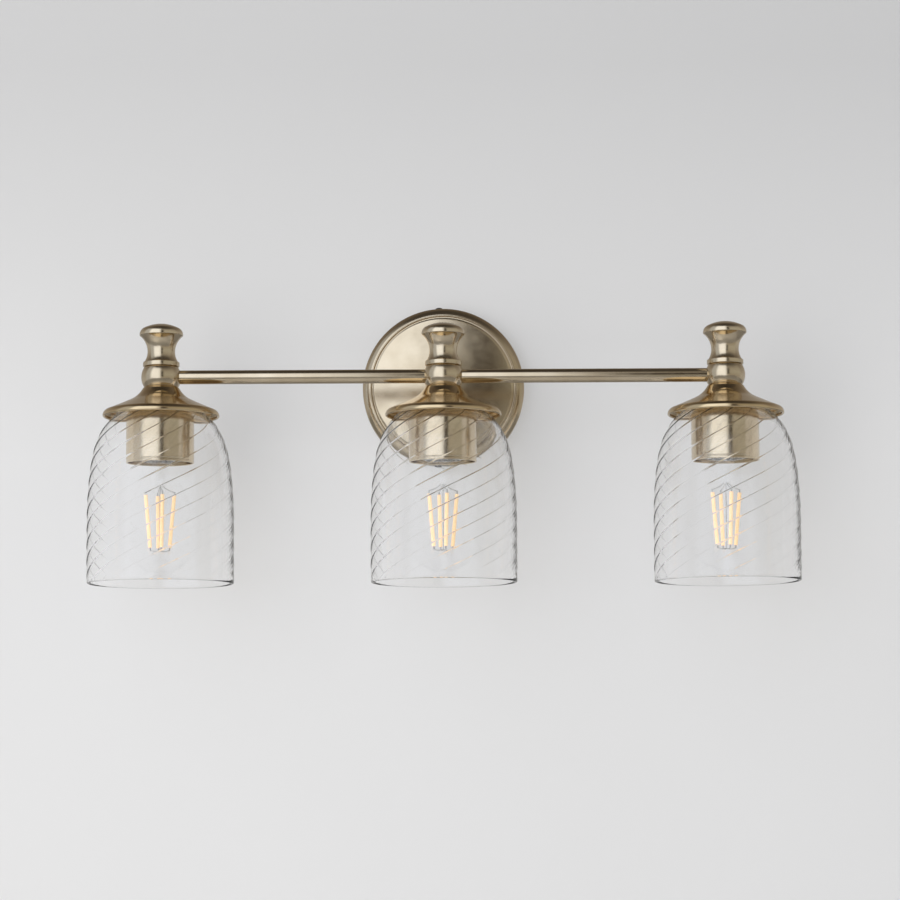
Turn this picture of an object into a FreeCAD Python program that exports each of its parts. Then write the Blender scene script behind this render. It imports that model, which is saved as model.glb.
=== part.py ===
import FreeCAD, Part
import math
import os
import re
import Sketcher

# A wall light with three heads on one bar. Millimetres and degrees. X runs along the bar, -Y is
# the front, Z is up. The wall is the plane y = 0 and the origin is the centre of the canopy on it.

SIZES = {
    # whole light
    "head_spacing": 203,        # between the axes of neighbouring heads
    "bar_standoff": 76,         # from the wall to the axis of the bar
    "slip": 0.08,               # radial clearance of a thread or shaft that turns in its hole
    "ease": 0.3,                # clearance between pieces that only pass each other
    # canopy: a spun steel dish against the wall
    "canopy_radius": 60,
    "canopy_wall": 1,
    "canopy_rim": 12.8,         # straight part of the side, next to the wall
    "canopy_shoulder": 54.6,    # radius where the bevel of the side meets the bead
    "canopy_step": 18.2,        # height of the shoulder above the wall
    "bead_width": 1.7,
    "groove_floor": 18.6,       # height of the groove round the face
    "face_radius": 52.1,
    "face_edge": 19.7,          # height of the face at its edge
    "canopy_depth": 24,         # height of the face at its centre
    "canopy_shoulder_inset": 1.2,
    "canopy_face_inset": 1.5,
    # strap: a steel bar bent into a U inside the canopy
    "strap_reach": 54,          # from the centre to the outside of a tab
    "strap_width": 18,
    "strap_wall": 1.5,
    "tab_height": 14,
    "slot_spacing": 79.4,
    "slot_length": 14.3,
    "slot_width": 4.8,
    "side_screw_radius": 1.75,
    "side_screw_height": 9,     # above the wall
    "side_screw_shift": 3,      # to the left of the centre line
    "side_head_radius": 2.7,
    "side_head_height": 1.2,
    "ground_height": 22,        # of the ground screw above the centre
    "ground_screw_radius": 2,
    "ground_head_radius": 3.6,
    "ground_head_height": 2.6,
    # threaded pipe and the tubes
    "pipe_radius": 4.9,
    "pipe_bore": 3.6,
    "tube_radius": 5,
    "tube_wall": 1,
    "tube_seat": 7,             # from a hub's axis to the end of a tube in it
    "collar_radius": 13,
    "collar_waist": 7.5,
    "collar_length": 16,
    "collar_edge": 2.5,         # height of the straight edge at its foot
    "collar_bevel": 1.1,
    "collar_bend": 14.4,
    "collar_lip": 1.5,
    "collar_seat": 7,           # depth of each of the collar's two bores
    "arm_nipple_tail": 5.5,     # of pipe inside the canopy
    "arm_nut_width": 14,        # across flats
    "arm_nut_height": 3,
    "lug_radius": 8,
    "lug_wall": 0.8,
    "lug_tongue": 12,           # from the centre to the tip of the lug's tongue
    "lug_tongue_width": 5,
    # hub: a ball cut flat above and below
    "ball_radius": 14.3,
    "hub_half": 7.6,
    "chamber_radius": 5.7,
    "chamber_half": 3.8,
    # finial: a turned knob on the hub
    "finial_base_radius": 13.1,
    "finial_base_height": 3.6,
    "finial_base_bevel": 0.6,
    "finial_neck_foot": 12.1,   # radius where the neck starts
    "finial_waist_radius": 9.9,
    "finial_waist": 11,         # height of the narrowest place
    "finial_neck_top": 15,      # radius where the neck meets the lip
    "finial_lip_foot": 22.3,    # height of that place
    "finial_lip_bevel": 0.5,
    "finial_lip_radius": 15.6,
    "finial_dome_corner": 5,    # bend between the lip and the dome
    "finial_dome_angle": 62,    # from the vertical, where that bend meets the dome
    "finial_height": 31.2,
    "stud_reach": 12,           # of the stud inside the finial
    "stud_bevel": 0.5,
    # shade cap: a spun trumpet with a rolled lip
    "cap_radius": 41.8,
    "cap_wall": 1,
    "cap_drop": 20.4,           # from the top of the cap to its lip
    "cap_lip_bend": 4.5,
    "cap_lip_roll": 0.9,
    "cap_flare_bend": 350,
    "cap_neck_bend": 20,
    "cap_lip_angle": 68,        # from the vertical, where the lip meets the flare
    "cap_flare_angle": 65,
    "cap_neck_angle": 32,
    # stack under the cap
    "spacer_radius": 8,
    "spacer_flange": 14,
    "spacer_flange_height": 2,
    "spacer_height": 11.4,
    "gasket_radius": 14,
    "gasket_hole": 7,
    "gasket_height": 1.5,
    "lock_nut_width": 14,
    "lock_nut_height": 3,
    # shade: a bell of clear glass
    "shade_radius": 52.4,
    "shade_wall": 2.4,
    "shade_height": 127.5,
    "shade_straight": 43,       # height of the cylinder at the open end
    "shade_hole": 9,
    "shade_bend_foot": 330,     # three arcs, from the cylinder up to the crown's own
    "shade_bend_side": 150,
    "shade_bend_shoulder": 60,
    "shade_angle_foot": 6,      # lean from the vertical at the end of each arc
    "shade_angle_side": 12,
    "shade_angle_shoulder": 33,
    "crown_lead": 6.612,        # from the cup's shoulder in to where the crown turns flat
    # socket cup and lamp holder
    "cup_radius": 24.3,
    "cup_wall": 1.2,
    "cup_bend": 3.5,
    "cup_height": 38,
    "holder_radius": 19,
    "holder_height": 31,
    "holder_roof": 5.5,
    "holder_bevel": 3,
    "holder_pipe_seat": 3.2,
    "holder_cavity": 13.95,
    "shell_radius": 13.9,
    "shell_wall": 0.35,
    "shell_height": 21,
    "shell_top_gap": 2,
    "tongue_radius": 5,
    "tongue_wall": 0.5,
    "tongue_button": 2.5,
    "tongue_rise": 1,
    # bulb
    "bulb_radius": 30,
    "bulb_length": 106,
    "bulb_base_radius": 13.1,
    "bulb_base_wall": 0.5,
    "bulb_base_end": 26,        # from the contact's tip
    "bulb_base_shoulder": 2,    # height of the base's bevel under the insulator
    "bulb_base_mouth": 7.8,
    "bulb_neck_radius": 12.3,
    "bulb_neck_seat": 4,        # of glass inside the base
    "bulb_glass_wall": 0.9,
    "bulb_contact_radius": 4.8,
    "bulb_contact_height": 1.6,
    "bulb_contact_edge": 0.5,
    "bulb_contact_bend": 2.5,
    "bulb_contact_flat": 3.2,
    "insulator_radius": 10.8,
    "insulator_height": 3,
    "insulator_mouth": 5.2,
    "stem_flare": 10.8,
    "stem_radius": 3.6,
    "stem_end": 45,             # from the contact's tip
    "stem_neck": 34,            # where the flare has narrowed to the stem
    "stem_flare_bend": 8.8,
    "stem_flare_edge": 1,
    "stem_tip_bend": 1,
    "filament_radius": 0.9,
    "filament_length": 42,
    "filament_top": 48,         # from the contact's tip
    "filament_top_spread": 10.5,
    "filament_lean": -5,        # inwards, from the top down
    "filament_turn": 15,        # of the first filament from the bar's line
    "filament_count": 4,
    "lead_radius": 0.35,
    "lead_length": 1.8,
    # wiring
    "wire_radius": 0.8,
    "wire_gap": 1.1,            # from a tube's axis to a live or a neutral wire
    "wire_pitch": 2.1,          # between the wires of different heads in the arm
    "wire_bend": 4,
    "ground_wire_bend": 6,
    "wire_turn": 11,            # height above the wall at which the wires turn in the canopy
    "wire_nut_place": 17,       # from the centre line to the mouth of a wire nut
    "wire_nut_length": 20,
    "wire_nut_mouth": 5.2,
    "wire_nut_skirt": 4,        # height of the straight part at the mouth
    "wire_nut_tip": 3.2,
    "wire_nut_bore": 3.8,
    "wire_grip": 8,             # of wire inside a wire nut
}

HEADS = {"left": "-head_spacing", "centre": "0", "right": "head_spacing"}

# Heights above the bar's axis, from the hub down to the foot of each stack.
HUB_UNDERSIDE = "(-hub_half)"
CAP_UNDERSIDE = f"({HUB_UNDERSIDE} - cap_wall)"
SPACER_UNDERSIDE = f"({CAP_UNDERSIDE} - spacer_height)"
SHADE_TOP = f"({SPACER_UNDERSIDE} - gasket_height)"
SHADE_UNDERSIDE = f"({SHADE_TOP} - shade_wall)"
CUP_TOP = f"({SHADE_UNDERSIDE} - gasket_height)"
CUP_UNDERSIDE = f"({CUP_TOP} - cup_wall)"
NUT_UNDERSIDE = f"({CUP_UNDERSIDE} - lock_nut_height)"
HOLDER_TOP = f"({NUT_UNDERSIDE} - ease)"
HOLDER_FLOOR = f"({HOLDER_TOP} - holder_roof)"
BULB_TOP = f"({HOLDER_FLOOR} - tongue_rise)"
PIPE_END = f"({HOLDER_TOP} - holder_pipe_seat + ease)"

LUG_FRONT = "(canopy_depth - canopy_wall - ease)"
NUT_FRONT = f"({LUG_FRONT} - lug_wall)"
ARM_TAIL = "(canopy_depth - canopy_wall - arm_nipple_tail)"
BULB_MIDDLE = "(bulb_length - bulb_radius)"
NECK_DROP = f"({BULB_MIDDLE} - bulb_base_end)"

HALF_CIRCLE = "1.0001"  # keeps the radius of a half circle above half its chord
LEAST_CUT = 0.1         # cubic millimetres

Vector = FreeCAD.Vector
document = FreeCAD.newDocument("vanity_light_bar")
sheet = document.addObject("Spreadsheet::Sheet", "Size")
for row, (alias, size) in enumerate(SIZES.items(), start=1):
    sheet.set(f"A{row}", alias)
    sheet.set(f"B{row}", str(size))
    sheet.setAlias(f"B{row}", alias)
document.recompute()

pieces = []


# ---------------------------------------------------------------- expressions and placement

def sized(expression):
    """The expression with each size read from the sheet."""
    def from_sheet(word):
        name = word.group()
        return f"Size.{name}" if name in SIZES else name
    return re.sub(r"[a-z_]+", from_sheet, expression)


def value(expression):
    """What the expression comes to now."""
    return float(sheet.evalExpression(sized(expression)))


def place(piece, x="0", y="0", z="0"):
    """Tie the piece's position to sizes and keep it for export."""
    for axis, distance in zip("xyz", (x, y, z)):
        piece.setExpression(f"Placement.Base.{axis}", sized(distance))
    pieces.append(piece)


def turn(piece, axis, angle):
    piece.Placement = FreeCAD.Placement(Vector(), FreeCAD.Rotation(axis, angle))


# ---------------------------------------------------------------- sketches

def sketch_on(body, role, name):
    plane = next(part for part in body.Origin.OriginFeatures if part.Role == role)
    sketch = body.newObject("Sketcher::SketchObject", name)
    sketch.AttachmentSupport = (plane, [""])
    sketch.MapMode = "FlatFace"
    return sketch


def limit(sketch, kind, expression, *ends):
    number = sketch.addConstraint(Sketcher.Constraint(kind, *ends, value(expression)))
    sketch.setExpression(f"Constraints[{number}]", sized(expression))


def arc_between(start, end, radius):
    """The short arc from start to end: anticlockwise if radius is positive, else clockwise."""
    chord = end - start
    across = Vector(-chord.y, chord.x, 0).normalize()
    rise = math.sqrt(radius ** 2 - (chord.Length / 2) ** 2)
    centre = (start + end) / 2 + across * math.copysign(rise, radius)
    first, last = (start, end) if radius > 0 else (end, start)
    angles = [math.atan2(point.y - centre.y, point.x - centre.x) for point in (first, last)]
    return Part.ArcOfCircle(Part.Circle(centre, Vector(0, 0, 1), abs(radius)), *angles)


def outline(sketch, corners):
    """A closed outline. A corner is (across, up), or (across, up, radius) where an arc leaves it."""
    points = [Vector(value(corner[0]), value(corner[1]), 0) for corner in corners]
    edges = []
    for number, corner in enumerate(corners):
        start = points[number]
        end = points[(number + 1) % len(points)]
        if len(corner) == 2:
            edge = sketch.addGeometry(Part.LineSegment(start, end), False)
            edges.append((edge, 1, 2))
        else:
            radius = value(corner[2])
            edge = sketch.addGeometry(arc_between(start, end, radius), False)
            edges.append((edge, 1, 2) if radius > 0 else (edge, 2, 1))
    for number, corner in enumerate(corners):
        edge, first, last = edges[number]
        next_edge, next_first, _ = edges[(number + 1) % len(edges)]
        sketch.addConstraint(Sketcher.Constraint("Coincident", edge, last, next_edge, next_first))
        limit(sketch, "DistanceX", corner[0], -1, 1, edge, first)
        limit(sketch, "DistanceY", corner[1], -1, 1, edge, first)
        if len(corner) == 3:
            limit(sketch, "Radius", f"abs({corner[2]})", edge)
    return sketch


def circle(sketch, radius, across="0", up="0"):
    middle = Vector(value(across), value(up), 0)
    ring = sketch.addGeometry(Part.Circle(middle, Vector(0, 0, 1), value(radius)), False)
    limit(sketch, "DistanceX", across, -1, 1, ring, 3)
    limit(sketch, "DistanceY", up, -1, 1, ring, 3)
    limit(sketch, "Radius", radius, ring)
    return sketch


def slot(sketch, middle, length, width):
    """An upright slot with round ends."""
    half = f"({width}) / 2"
    straight = f"(({length}) - ({width})) / 2"
    outline(sketch, [
        (half, f"{middle} - {straight}"),
        (half, f"{middle} + {straight}", f"{half} * {HALF_CIRCLE}"),
        (f"-{half}", f"{middle} + {straight}"),
        (f"-{half}", f"{middle} - {straight}", f"{half} * {HALF_CIRCLE}"),
    ])


# ---------------------------------------------------------------- features

def new_body(label):
    body = document.addObject("PartDesign::Body", label)
    body.Label = label
    return body


def turned(label, corners, plane="XZ_Plane"):
    """A piece turned about the upright axis of the plane its outline lies in."""
    body = new_body(label)
    sketch = outline(sketch_on(body, plane, f"{label}_outline"), corners)
    solid = body.newObject("PartDesign::Revolution", f"{label}_turning")
    solid.Profile = sketch
    solid.ReferenceAxis = (sketch, ["V_Axis"])
    solid.Angle = 360
    return body


def ring(label, radius, bore, bottom, top, plane="XZ_Plane"):
    corners = [(bore, bottom), (radius, bottom), (radius, top), (bore, top)]
    return turned(label, corners, plane)


def raised(body, sketch, length, midplane=False, backwards=False):
    solid = body.newObject("PartDesign::Pad", f"{sketch.Name}_pad")
    solid.Profile = sketch
    solid.Midplane = midplane
    solid.Reversed = backwards
    solid.setExpression("Length", sized(length))
    return solid


def cut(body, sketch, length, midplane=False, backwards=False):
    """Cut the sketch out of the body, against the sketch's normal, and check that it removes some."""
    document.recompute()
    before = body.Shape.Volume
    pocket = body.newObject("PartDesign::Pocket", f"{sketch.Name}_cut")
    pocket.Profile = sketch
    pocket.Midplane = midplane
    pocket.Reversed = backwards
    pocket.setExpression("Length", sized(length))
    document.recompute()
    if body.Shape.Volume > before - LEAST_CUT:
        raise ValueError(f"{pocket.Name} cuts nothing")
    return pocket


def three_heads(body):
    """Repeat the body's last feature at every head, from the left head to the right one."""
    feature = body.Tip
    pattern = body.newObject("PartDesign::LinearPattern", f"{body.Name}_heads")
    pattern.Originals = [feature]
    pattern.Direction = (feature.Profile[0], ["H_Axis"])
    pattern.setExpression("Length", sized("head_spacing * 2"))
    pattern.Occurrences = len(HEADS)
    body.Tip = pattern


def hexagon(sketch, width, bore):
    """A hexagon of a given width across flats, with a round hole."""
    corner = f"({width}) / sqrt(3)"
    outline(sketch, [(f"{corner} * cos({angle})", f"{corner} * sin({angle})")
                     for angle in range(0, 360, 60)])
    return circle(sketch, bore)


# ---------------------------------------------------------------- profiles with tangent arcs

def tangent_arcs(across, up, bends, inward="0"):
    """Corners of a run of arcs that climbs from (across, up) and leans inwards more and more.

    Each bend is (radius, end angle from the vertical); a negative radius leans back out. The
    run starts upright. inward moves the whole run towards its inner side. The last corner is
    where the next edge starts."""
    corners = []
    angle = "0"
    for radius, end_angle in bends:
        offset_radius = f"({radius} - {inward})"
        corners.append((
            f"({across} - {inward} * cos({angle}))",
            f"({up} - {inward} * sin({angle}))",
            offset_radius,
        ))
        across = f"({across} - ({radius}) * (cos({angle}) - cos({end_angle})))"
        up = f"({up} + ({radius}) * (sin({end_angle}) - sin({angle})))"
        angle = end_angle
    corners.append((
        f"({across} - {inward} * cos({angle}))",
        f"({up} - {inward} * sin({angle}))",
    ))
    return corners


def walked_back(corners):
    """The same run of corners walked the other way, with its arcs turned round."""
    walked = []
    for number in range(len(corners) - 1, -1, -1):
        across, up = corners[number][:2]
        if number and len(corners[number - 1]) == 3:
            walked.append((across, up, f"-{corners[number - 1][2]}"))
        else:
            walked.append((across, up))
    return walked


# ---------------------------------------------------------------- canopy and what it holds

def make_canopy():
    inner_radius = "canopy_radius - canopy_wall"
    inner_shoulder = "canopy_shoulder - canopy_shoulder_inset"
    face_bend = "((face_radius ^ 2 + (canopy_depth - face_edge) ^ 2) / (2 * (canopy_depth - face_edge)))"
    inner_edge = "(face_radius - canopy_face_inset)"
    inner_bend = f"({face_bend} - canopy_wall)"
    inner_sag = f"({inner_bend} - sqrt({inner_bend} ^ 2 - {inner_edge} ^ 2))"
    canopy = turned("canopy", [
        (inner_radius, "0"),
        ("canopy_radius", "0"),
        ("canopy_radius", "-canopy_rim"),
        ("canopy_shoulder", "-canopy_step", f"-bead_width / 2 * {HALF_CIRCLE}"),
        ("canopy_shoulder - bead_width", "-canopy_step"),
        ("canopy_shoulder - bead_width", "-groove_floor"),
        ("face_radius", "-groove_floor"),
        ("face_radius", "-face_edge", f"-{face_bend}"),
        ("0", "-canopy_depth"),
        ("0", "-canopy_depth + canopy_wall", inner_bend),
        (inner_edge, f"-canopy_depth + canopy_wall + {inner_sag}"),
        (inner_shoulder, "-canopy_step + canopy_wall"),
        (inner_radius, "-canopy_rim"),
    ], "XY_Plane")
    arm_hole = circle(sketch_on(canopy, "XZ_Plane", "canopy_arm_hole"), "pipe_radius + ease")
    cut(canopy, arm_hole, "canopy_depth + ease", backwards=True)
    screw_holes = circle(sketch_on(canopy, "XY_Plane", "canopy_screw_holes"),
                         "side_screw_radius + ease", "-side_screw_shift", "-side_screw_height")
    cut(canopy, screw_holes, "canopy_radius * 2 + ease", midplane=True)
    place(canopy)


def make_strap():
    strap = new_body("mounting_strap")
    inside = "strap_reach - strap_wall"
    profile = outline(sketch_on(strap, "YZ_Plane", "strap_profile"), [
        ("0", "-strap_reach"),
        ("0", "strap_reach"),
        ("-tab_height", "strap_reach"),
        ("-tab_height", inside),
        ("-strap_wall", inside),
        ("-strap_wall", f"-({inside})"),
        ("-tab_height", f"-({inside})"),
        ("-tab_height", "-strap_reach"),
    ])
    raised(strap, profile, "strap_width", midplane=True)
    for side, sign in (("upper", ""), ("lower", "-")):
        box_slot = sketch_on(strap, "XZ_Plane", f"{side}_slot")
        slot(box_slot, f"{sign}slot_spacing / 2", "slot_length", "slot_width")
        cut(strap, box_slot, "strap_wall * 2 + ease", midplane=True)
    ground_hole = circle(sketch_on(strap, "XZ_Plane", "ground_hole"),
                         "ground_screw_radius + slip", "0", "ground_height")
    cut(strap, ground_hole, "strap_wall * 2 + ease", midplane=True)
    tab_holes = circle(sketch_on(strap, "XY_Plane", "tab_holes"),
                       "side_screw_radius + slip", "-side_screw_shift", "-side_screw_height")
    cut(strap, tab_holes, "strap_reach * 2 + ease", midplane=True)
    place(strap)


def make_side_screws():
    """Two screws through the side of the canopy into the strap's tabs."""
    under_head = "(canopy_radius + ease / 3)"
    tip = "strap_reach - strap_wall - side_screw_radius"
    screws = turned("canopy_side_screws", [
        ("0", tip),
        ("side_screw_radius", tip),
        ("side_screw_radius", under_head),
        ("side_head_radius", under_head),
        ("side_head_radius", f"{under_head} + side_head_height / 2",
         "(side_head_radius ^ 2 + (side_head_height / 2) ^ 2) / side_head_height"),
        ("0", f"{under_head} + side_head_height"),
    ])
    plane = next(part for part in screws.Origin.OriginFeatures if part.Role == "XY_Plane")
    lower = screws.newObject("PartDesign::Mirrored", "lower_side_screw")
    lower.Originals = [screws.Tip]
    lower.MirrorPlane = (plane, [""])
    screws.Tip = lower
    place(screws, x="-side_screw_shift", y="-side_screw_height")


def make_ground_screw():
    screw = turned("ground_screw", [
        ("0", "0"),
        ("ground_screw_radius", "0"),
        ("ground_screw_radius", "-strap_wall"),
        ("ground_head_radius", "-strap_wall"),
        ("ground_head_radius", "-strap_wall - ground_head_height"),
        ("0", "-strap_wall - ground_head_height"),
    ], "XY_Plane")
    place(screw, z="ground_height")


def make_ground_lug():
    """A ring under the arm's nut, with a tongue that the ground wire starts from."""
    lug = ring("ground_lug", "lug_radius", "pipe_radius + ease", f"-{LUG_FRONT}", f"-{NUT_FRONT}", "XY_Plane")
    tongue = outline(sketch_on(lug, "XZ_Plane", "lug_tongue"), [
        ("-lug_tongue_width / 2", "lug_radius - lug_wall"),
        ("lug_tongue_width / 2", "lug_radius - lug_wall"),
        ("lug_tongue_width / 2", "lug_tongue"),
        ("-lug_tongue_width / 2", "lug_tongue"),
    ])
    tongue.setExpression("AttachmentOffset.Base.z", sized(NUT_FRONT))
    raised(lug, tongue, "lug_wall")
    place(lug)


def make_arm():
    """The nipple through the canopy, its nut, the collar in front and the tube to the hub."""
    collar_front = "(canopy_depth + collar_length)"
    nipple_front = "(canopy_depth + collar_seat - ease)"
    place(ring("arm_nipple", "pipe_radius", "pipe_bore", f"-{nipple_front}", f"-{ARM_TAIL}", "XY_Plane"))

    nut = new_body("arm_nut")
    profile = hexagon(sketch_on(nut, "XZ_Plane", "arm_nut_profile"), "arm_nut_width", "pipe_radius + slip")
    raised(nut, profile, "arm_nut_height")
    place(nut, y=f"arm_nut_height - {NUT_FRONT}")

    collar = turned("arm_collar", [
        ("pipe_radius + slip", "-canopy_depth"),
        ("collar_radius", "-canopy_depth"),
        ("collar_radius", "-canopy_depth - collar_edge"),
        ("collar_radius - collar_bevel", "-canopy_depth - collar_edge - collar_bevel",
         "collar_bend"),
        ("collar_waist", f"-{collar_front} + collar_lip"),
        ("collar_waist", f"-{collar_front}"),
        ("tube_radius + slip", f"-{collar_front}"),
        ("tube_radius + slip", f"-{collar_front} + collar_seat"),
        ("pipe_bore", f"-{collar_front} + collar_seat"),
        ("pipe_bore", "-canopy_depth - collar_seat"),
        ("pipe_radius + slip", "-canopy_depth - collar_seat"),
    ], "XY_Plane")
    place(collar)

    tube_back = f"({collar_front} - collar_seat)"
    place(ring("arm_tube", "tube_radius", "tube_radius - tube_wall",
               "tube_seat - bar_standoff", f"-{tube_back}", "XY_Plane"))


# ---------------------------------------------------------------- bar, hubs and finials

def make_bar_tubes():
    for side, start in (("left", "tube_seat - head_spacing"), ("right", "tube_seat")):
        tube = new_body(f"bar_{side}")
        profile = circle(sketch_on(tube, "YZ_Plane", f"bar_{side}_profile"), "tube_radius")
        circle(profile, "tube_radius - tube_wall")
        raised(tube, profile, "head_spacing - 2 * tube_seat")
        place(tube, x=start, y="-bar_standoff")


def make_hub(side, x):
    """A ball cut flat above and below, bored for a stud, a nipple and the tubes that meet in it."""
    flat_radius = "sqrt(ball_radius ^ 2 - hub_half ^ 2)"
    thread = "pipe_radius + slip"
    hub = turned(f"hub_{side}", [
        (thread, "-hub_half"),
        (flat_radius, "-hub_half", "ball_radius"),
        (flat_radius, "hub_half"),
        (thread, "hub_half"),
        (thread, "chamber_half"),
        ("chamber_radius", "chamber_half"),
        ("chamber_radius", "-chamber_half"),
        (thread, "-chamber_half"),
    ])
    seat = circle(sketch_on(hub, "YZ_Plane", f"hub_{side}_seat"), "tube_radius + slip")
    seat.setExpression("AttachmentOffset.Base.z", sized("tube_seat"))
    seat_bore = cut(hub, seat, "ball_radius", backwards=True)
    passage = circle(sketch_on(hub, "YZ_Plane", f"hub_{side}_passage"), "pipe_bore")
    passage_bore = cut(hub, passage, "tube_seat + ease", backwards=True)
    if side == "centre":
        pattern = hub.newObject("PartDesign::PolarPattern", "hub_centre_bores")
        pattern.Originals = [seat_bore, passage_bore]
        pattern.Axis = (passage, ["V_Axis"])
        pattern.Angle = 180
        pattern.Occurrences = 3
        hub.Tip = pattern
    if side == "right":
        turn(hub, Vector(0, 0, 1), 180)
    place(hub, x=x, y="-bar_standoff")


def neck_bend(drop, shrink):
    """Radius of an arc that is upright at the waist and is wider by shrink after a height of drop."""
    return f"((({drop}) ^ 2 + ({shrink}) ^ 2) / (2 * ({shrink})))"


def make_finial(side, x):
    """A knob with a base ring, a hollow neck, a lip and a low dome, and its threaded stud."""
    foot_bend = neck_bend("finial_waist - finial_base_height", "finial_neck_foot - finial_waist_radius")
    top_bend = neck_bend("finial_lip_foot - finial_waist", "finial_neck_top - finial_waist_radius")
    corner_shift = "(finial_dome_corner * (1 - cos(finial_dome_angle)))"
    dome_bend = f"((finial_lip_radius - {corner_shift}) / cos(finial_dome_angle))"
    dome_rise = (f"(finial_dome_corner * sin(finial_dome_angle)"
                 f" + {dome_bend} * (1 - sin(finial_dome_angle)))")
    dome = tangent_arcs("finial_lip_radius", f"(finial_height - {dome_rise})", [
        ("finial_dome_corner", "finial_dome_angle"),
        (dome_bend, "90"),
    ])
    bore = "pipe_radius + slip"
    finial = turned(f"finial_{side}", [
        (bore, "0"),
        ("finial_base_radius - finial_base_bevel", "0"),
        ("finial_base_radius", "finial_base_bevel"),
        ("finial_base_radius", "finial_base_height - finial_base_bevel"),
        ("finial_base_radius - finial_base_bevel", "finial_base_height"),
        ("finial_neck_foot", "finial_base_height", f"-{foot_bend}"),
        ("finial_waist_radius", "finial_waist", f"-{top_bend}"),
        ("finial_neck_top", "finial_lip_foot"),
        ("finial_lip_radius", "finial_lip_foot + finial_lip_bevel"),
    ] + dome[:-1] + [
        ("0", "finial_height"),
        ("0", "stud_reach + ease"),
        (bore, "stud_reach + ease"),
    ])
    place(finial, x=x, y="-bar_standoff", z="hub_half")
    stud = turned(f"finial_stud_{side}", [
        ("0", "chamber_half"),
        ("pipe_radius - stud_bevel", "chamber_half"),
        ("pipe_radius", "chamber_half + stud_bevel"),
        ("pipe_radius", "hub_half + stud_reach - stud_bevel"),
        ("pipe_radius - stud_bevel", "hub_half + stud_reach"),
        ("0", "hub_half + stud_reach"),
    ])
    place(stud, x=x, y="-bar_standoff")


# ---------------------------------------------------------------- caps, glass and lamp holders

def make_cap(side, x):
    """A trumpet that starts flat under the hub, flares out and ends in a rolled lip."""
    lip = "(-hub_half - cap_drop)"
    bends_out = [("cap_lip_bend", "cap_lip_angle")]
    lip_run = tangent_arcs("cap_radius", lip, bends_out)
    lip_end = lip_run[-1]
    inner_lip = tangent_arcs("cap_radius", lip, bends_out, "cap_wall")

    def flare(start, wall, inner):
        """From the lip to the flat top: a long hollow bend, then a short one."""
        across, up = start
        long_bend = f"(cap_flare_bend + {wall})"
        short_bend = f"(cap_neck_bend + {wall})"
        middle_across = f"({across} - {long_bend} * (cos(cap_flare_angle) - cos(cap_lip_angle)))"
        middle_up = f"({up} + {long_bend} * (sin(cap_lip_angle) - sin(cap_flare_angle)))"
        neck_across = f"({middle_across} - {short_bend} * (cos(cap_neck_angle) - cos(cap_flare_angle)))"
        neck_up = f"({middle_up} + {short_bend} * (sin(cap_flare_angle) - sin(cap_neck_angle)))"
        top = f"({HUB_UNDERSIDE} - {inner})"
        top_across = f"({neck_across} - ({top} - {neck_up}) * tan(cap_neck_angle))"
        return [
            (across, up, f"-{long_bend}"),
            (middle_across, middle_up, f"-{short_bend}"),
            (neck_across, neck_up),
            (top_across, top),
        ]

    outside = lip_run[:1] + flare(lip_end, "0", "0")
    inside = inner_lip[:1] + flare(inner_lip[-1], "cap_wall", "cap_wall")
    hole = "pipe_radius + ease"
    rolled = ("cap_radius - 2 * cap_lip_roll", lip, f"cap_lip_roll * {HALF_CIRCLE}")
    lip_shoulder = ("cap_radius - 2 * cap_lip_roll", f"{lip} + cap_lip_roll")
    corners = [rolled] + outside + [(hole, HUB_UNDERSIDE), (hole, CAP_UNDERSIDE)]
    corners += walked_back(inside)[:-1]
    corners += [("cap_radius - cap_wall - ease / 3", f"{lip} + cap_lip_roll * 2"), lip_shoulder]
    place(turned(f"shade_cap_{side}", corners), x=x, y="-bar_standoff")


def make_shade(side, x):
    """A bell of glass: a cylinder, then four arcs that lean in to a flat crown with a hole."""
    foot = f"({SHADE_TOP} - shade_height)"
    bends = [
        ("shade_bend_foot", "shade_angle_foot"),
        ("shade_bend_side", "shade_angle_side"),
        ("shade_bend_shoulder", "shade_angle_shoulder"),
    ]
    start = f"({foot} + shade_straight)"
    # The crown's arc turns flat just inside the cup's shoulder, so that the cup fits under it.
    arc_start = tangent_arcs("shade_radius", start, bends)[-1][0]
    crown_flat = "(cup_radius - cup_bend - crown_lead)"
    bends.append((f"(({arc_start} - {crown_flat}) / cos(shade_angle_shoulder))", "90"))
    outside = tangent_arcs("shade_radius", start, bends)
    inside = tangent_arcs("shade_radius", start, bends, "shade_wall")
    edge = "(shade_wall / 2)"
    # The crown's height follows from the arcs, so the whole run is lifted to meet SHADE_TOP.
    lift = f"({SHADE_TOP} - {outside[-1][1]})"
    outside = [(corner[0], f"({corner[1]} + {lift})") + corner[2:] for corner in outside]
    inside = [(corner[0], f"({corner[1]} + {lift})") + corner[2:] for corner in inside]
    corners = [
        ("shade_radius - shade_wall", f"{foot} + {edge}", f"{edge} * {HALF_CIRCLE}"),
        ("shade_radius", f"{foot} + {edge}"),
    ]
    corners += outside + [("shade_hole", SHADE_TOP), ("shade_hole", SHADE_UNDERSIDE)]
    corners += walked_back(inside)
    place(turned(f"shade_{side}", corners), x=x, y="-bar_standoff")


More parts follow.
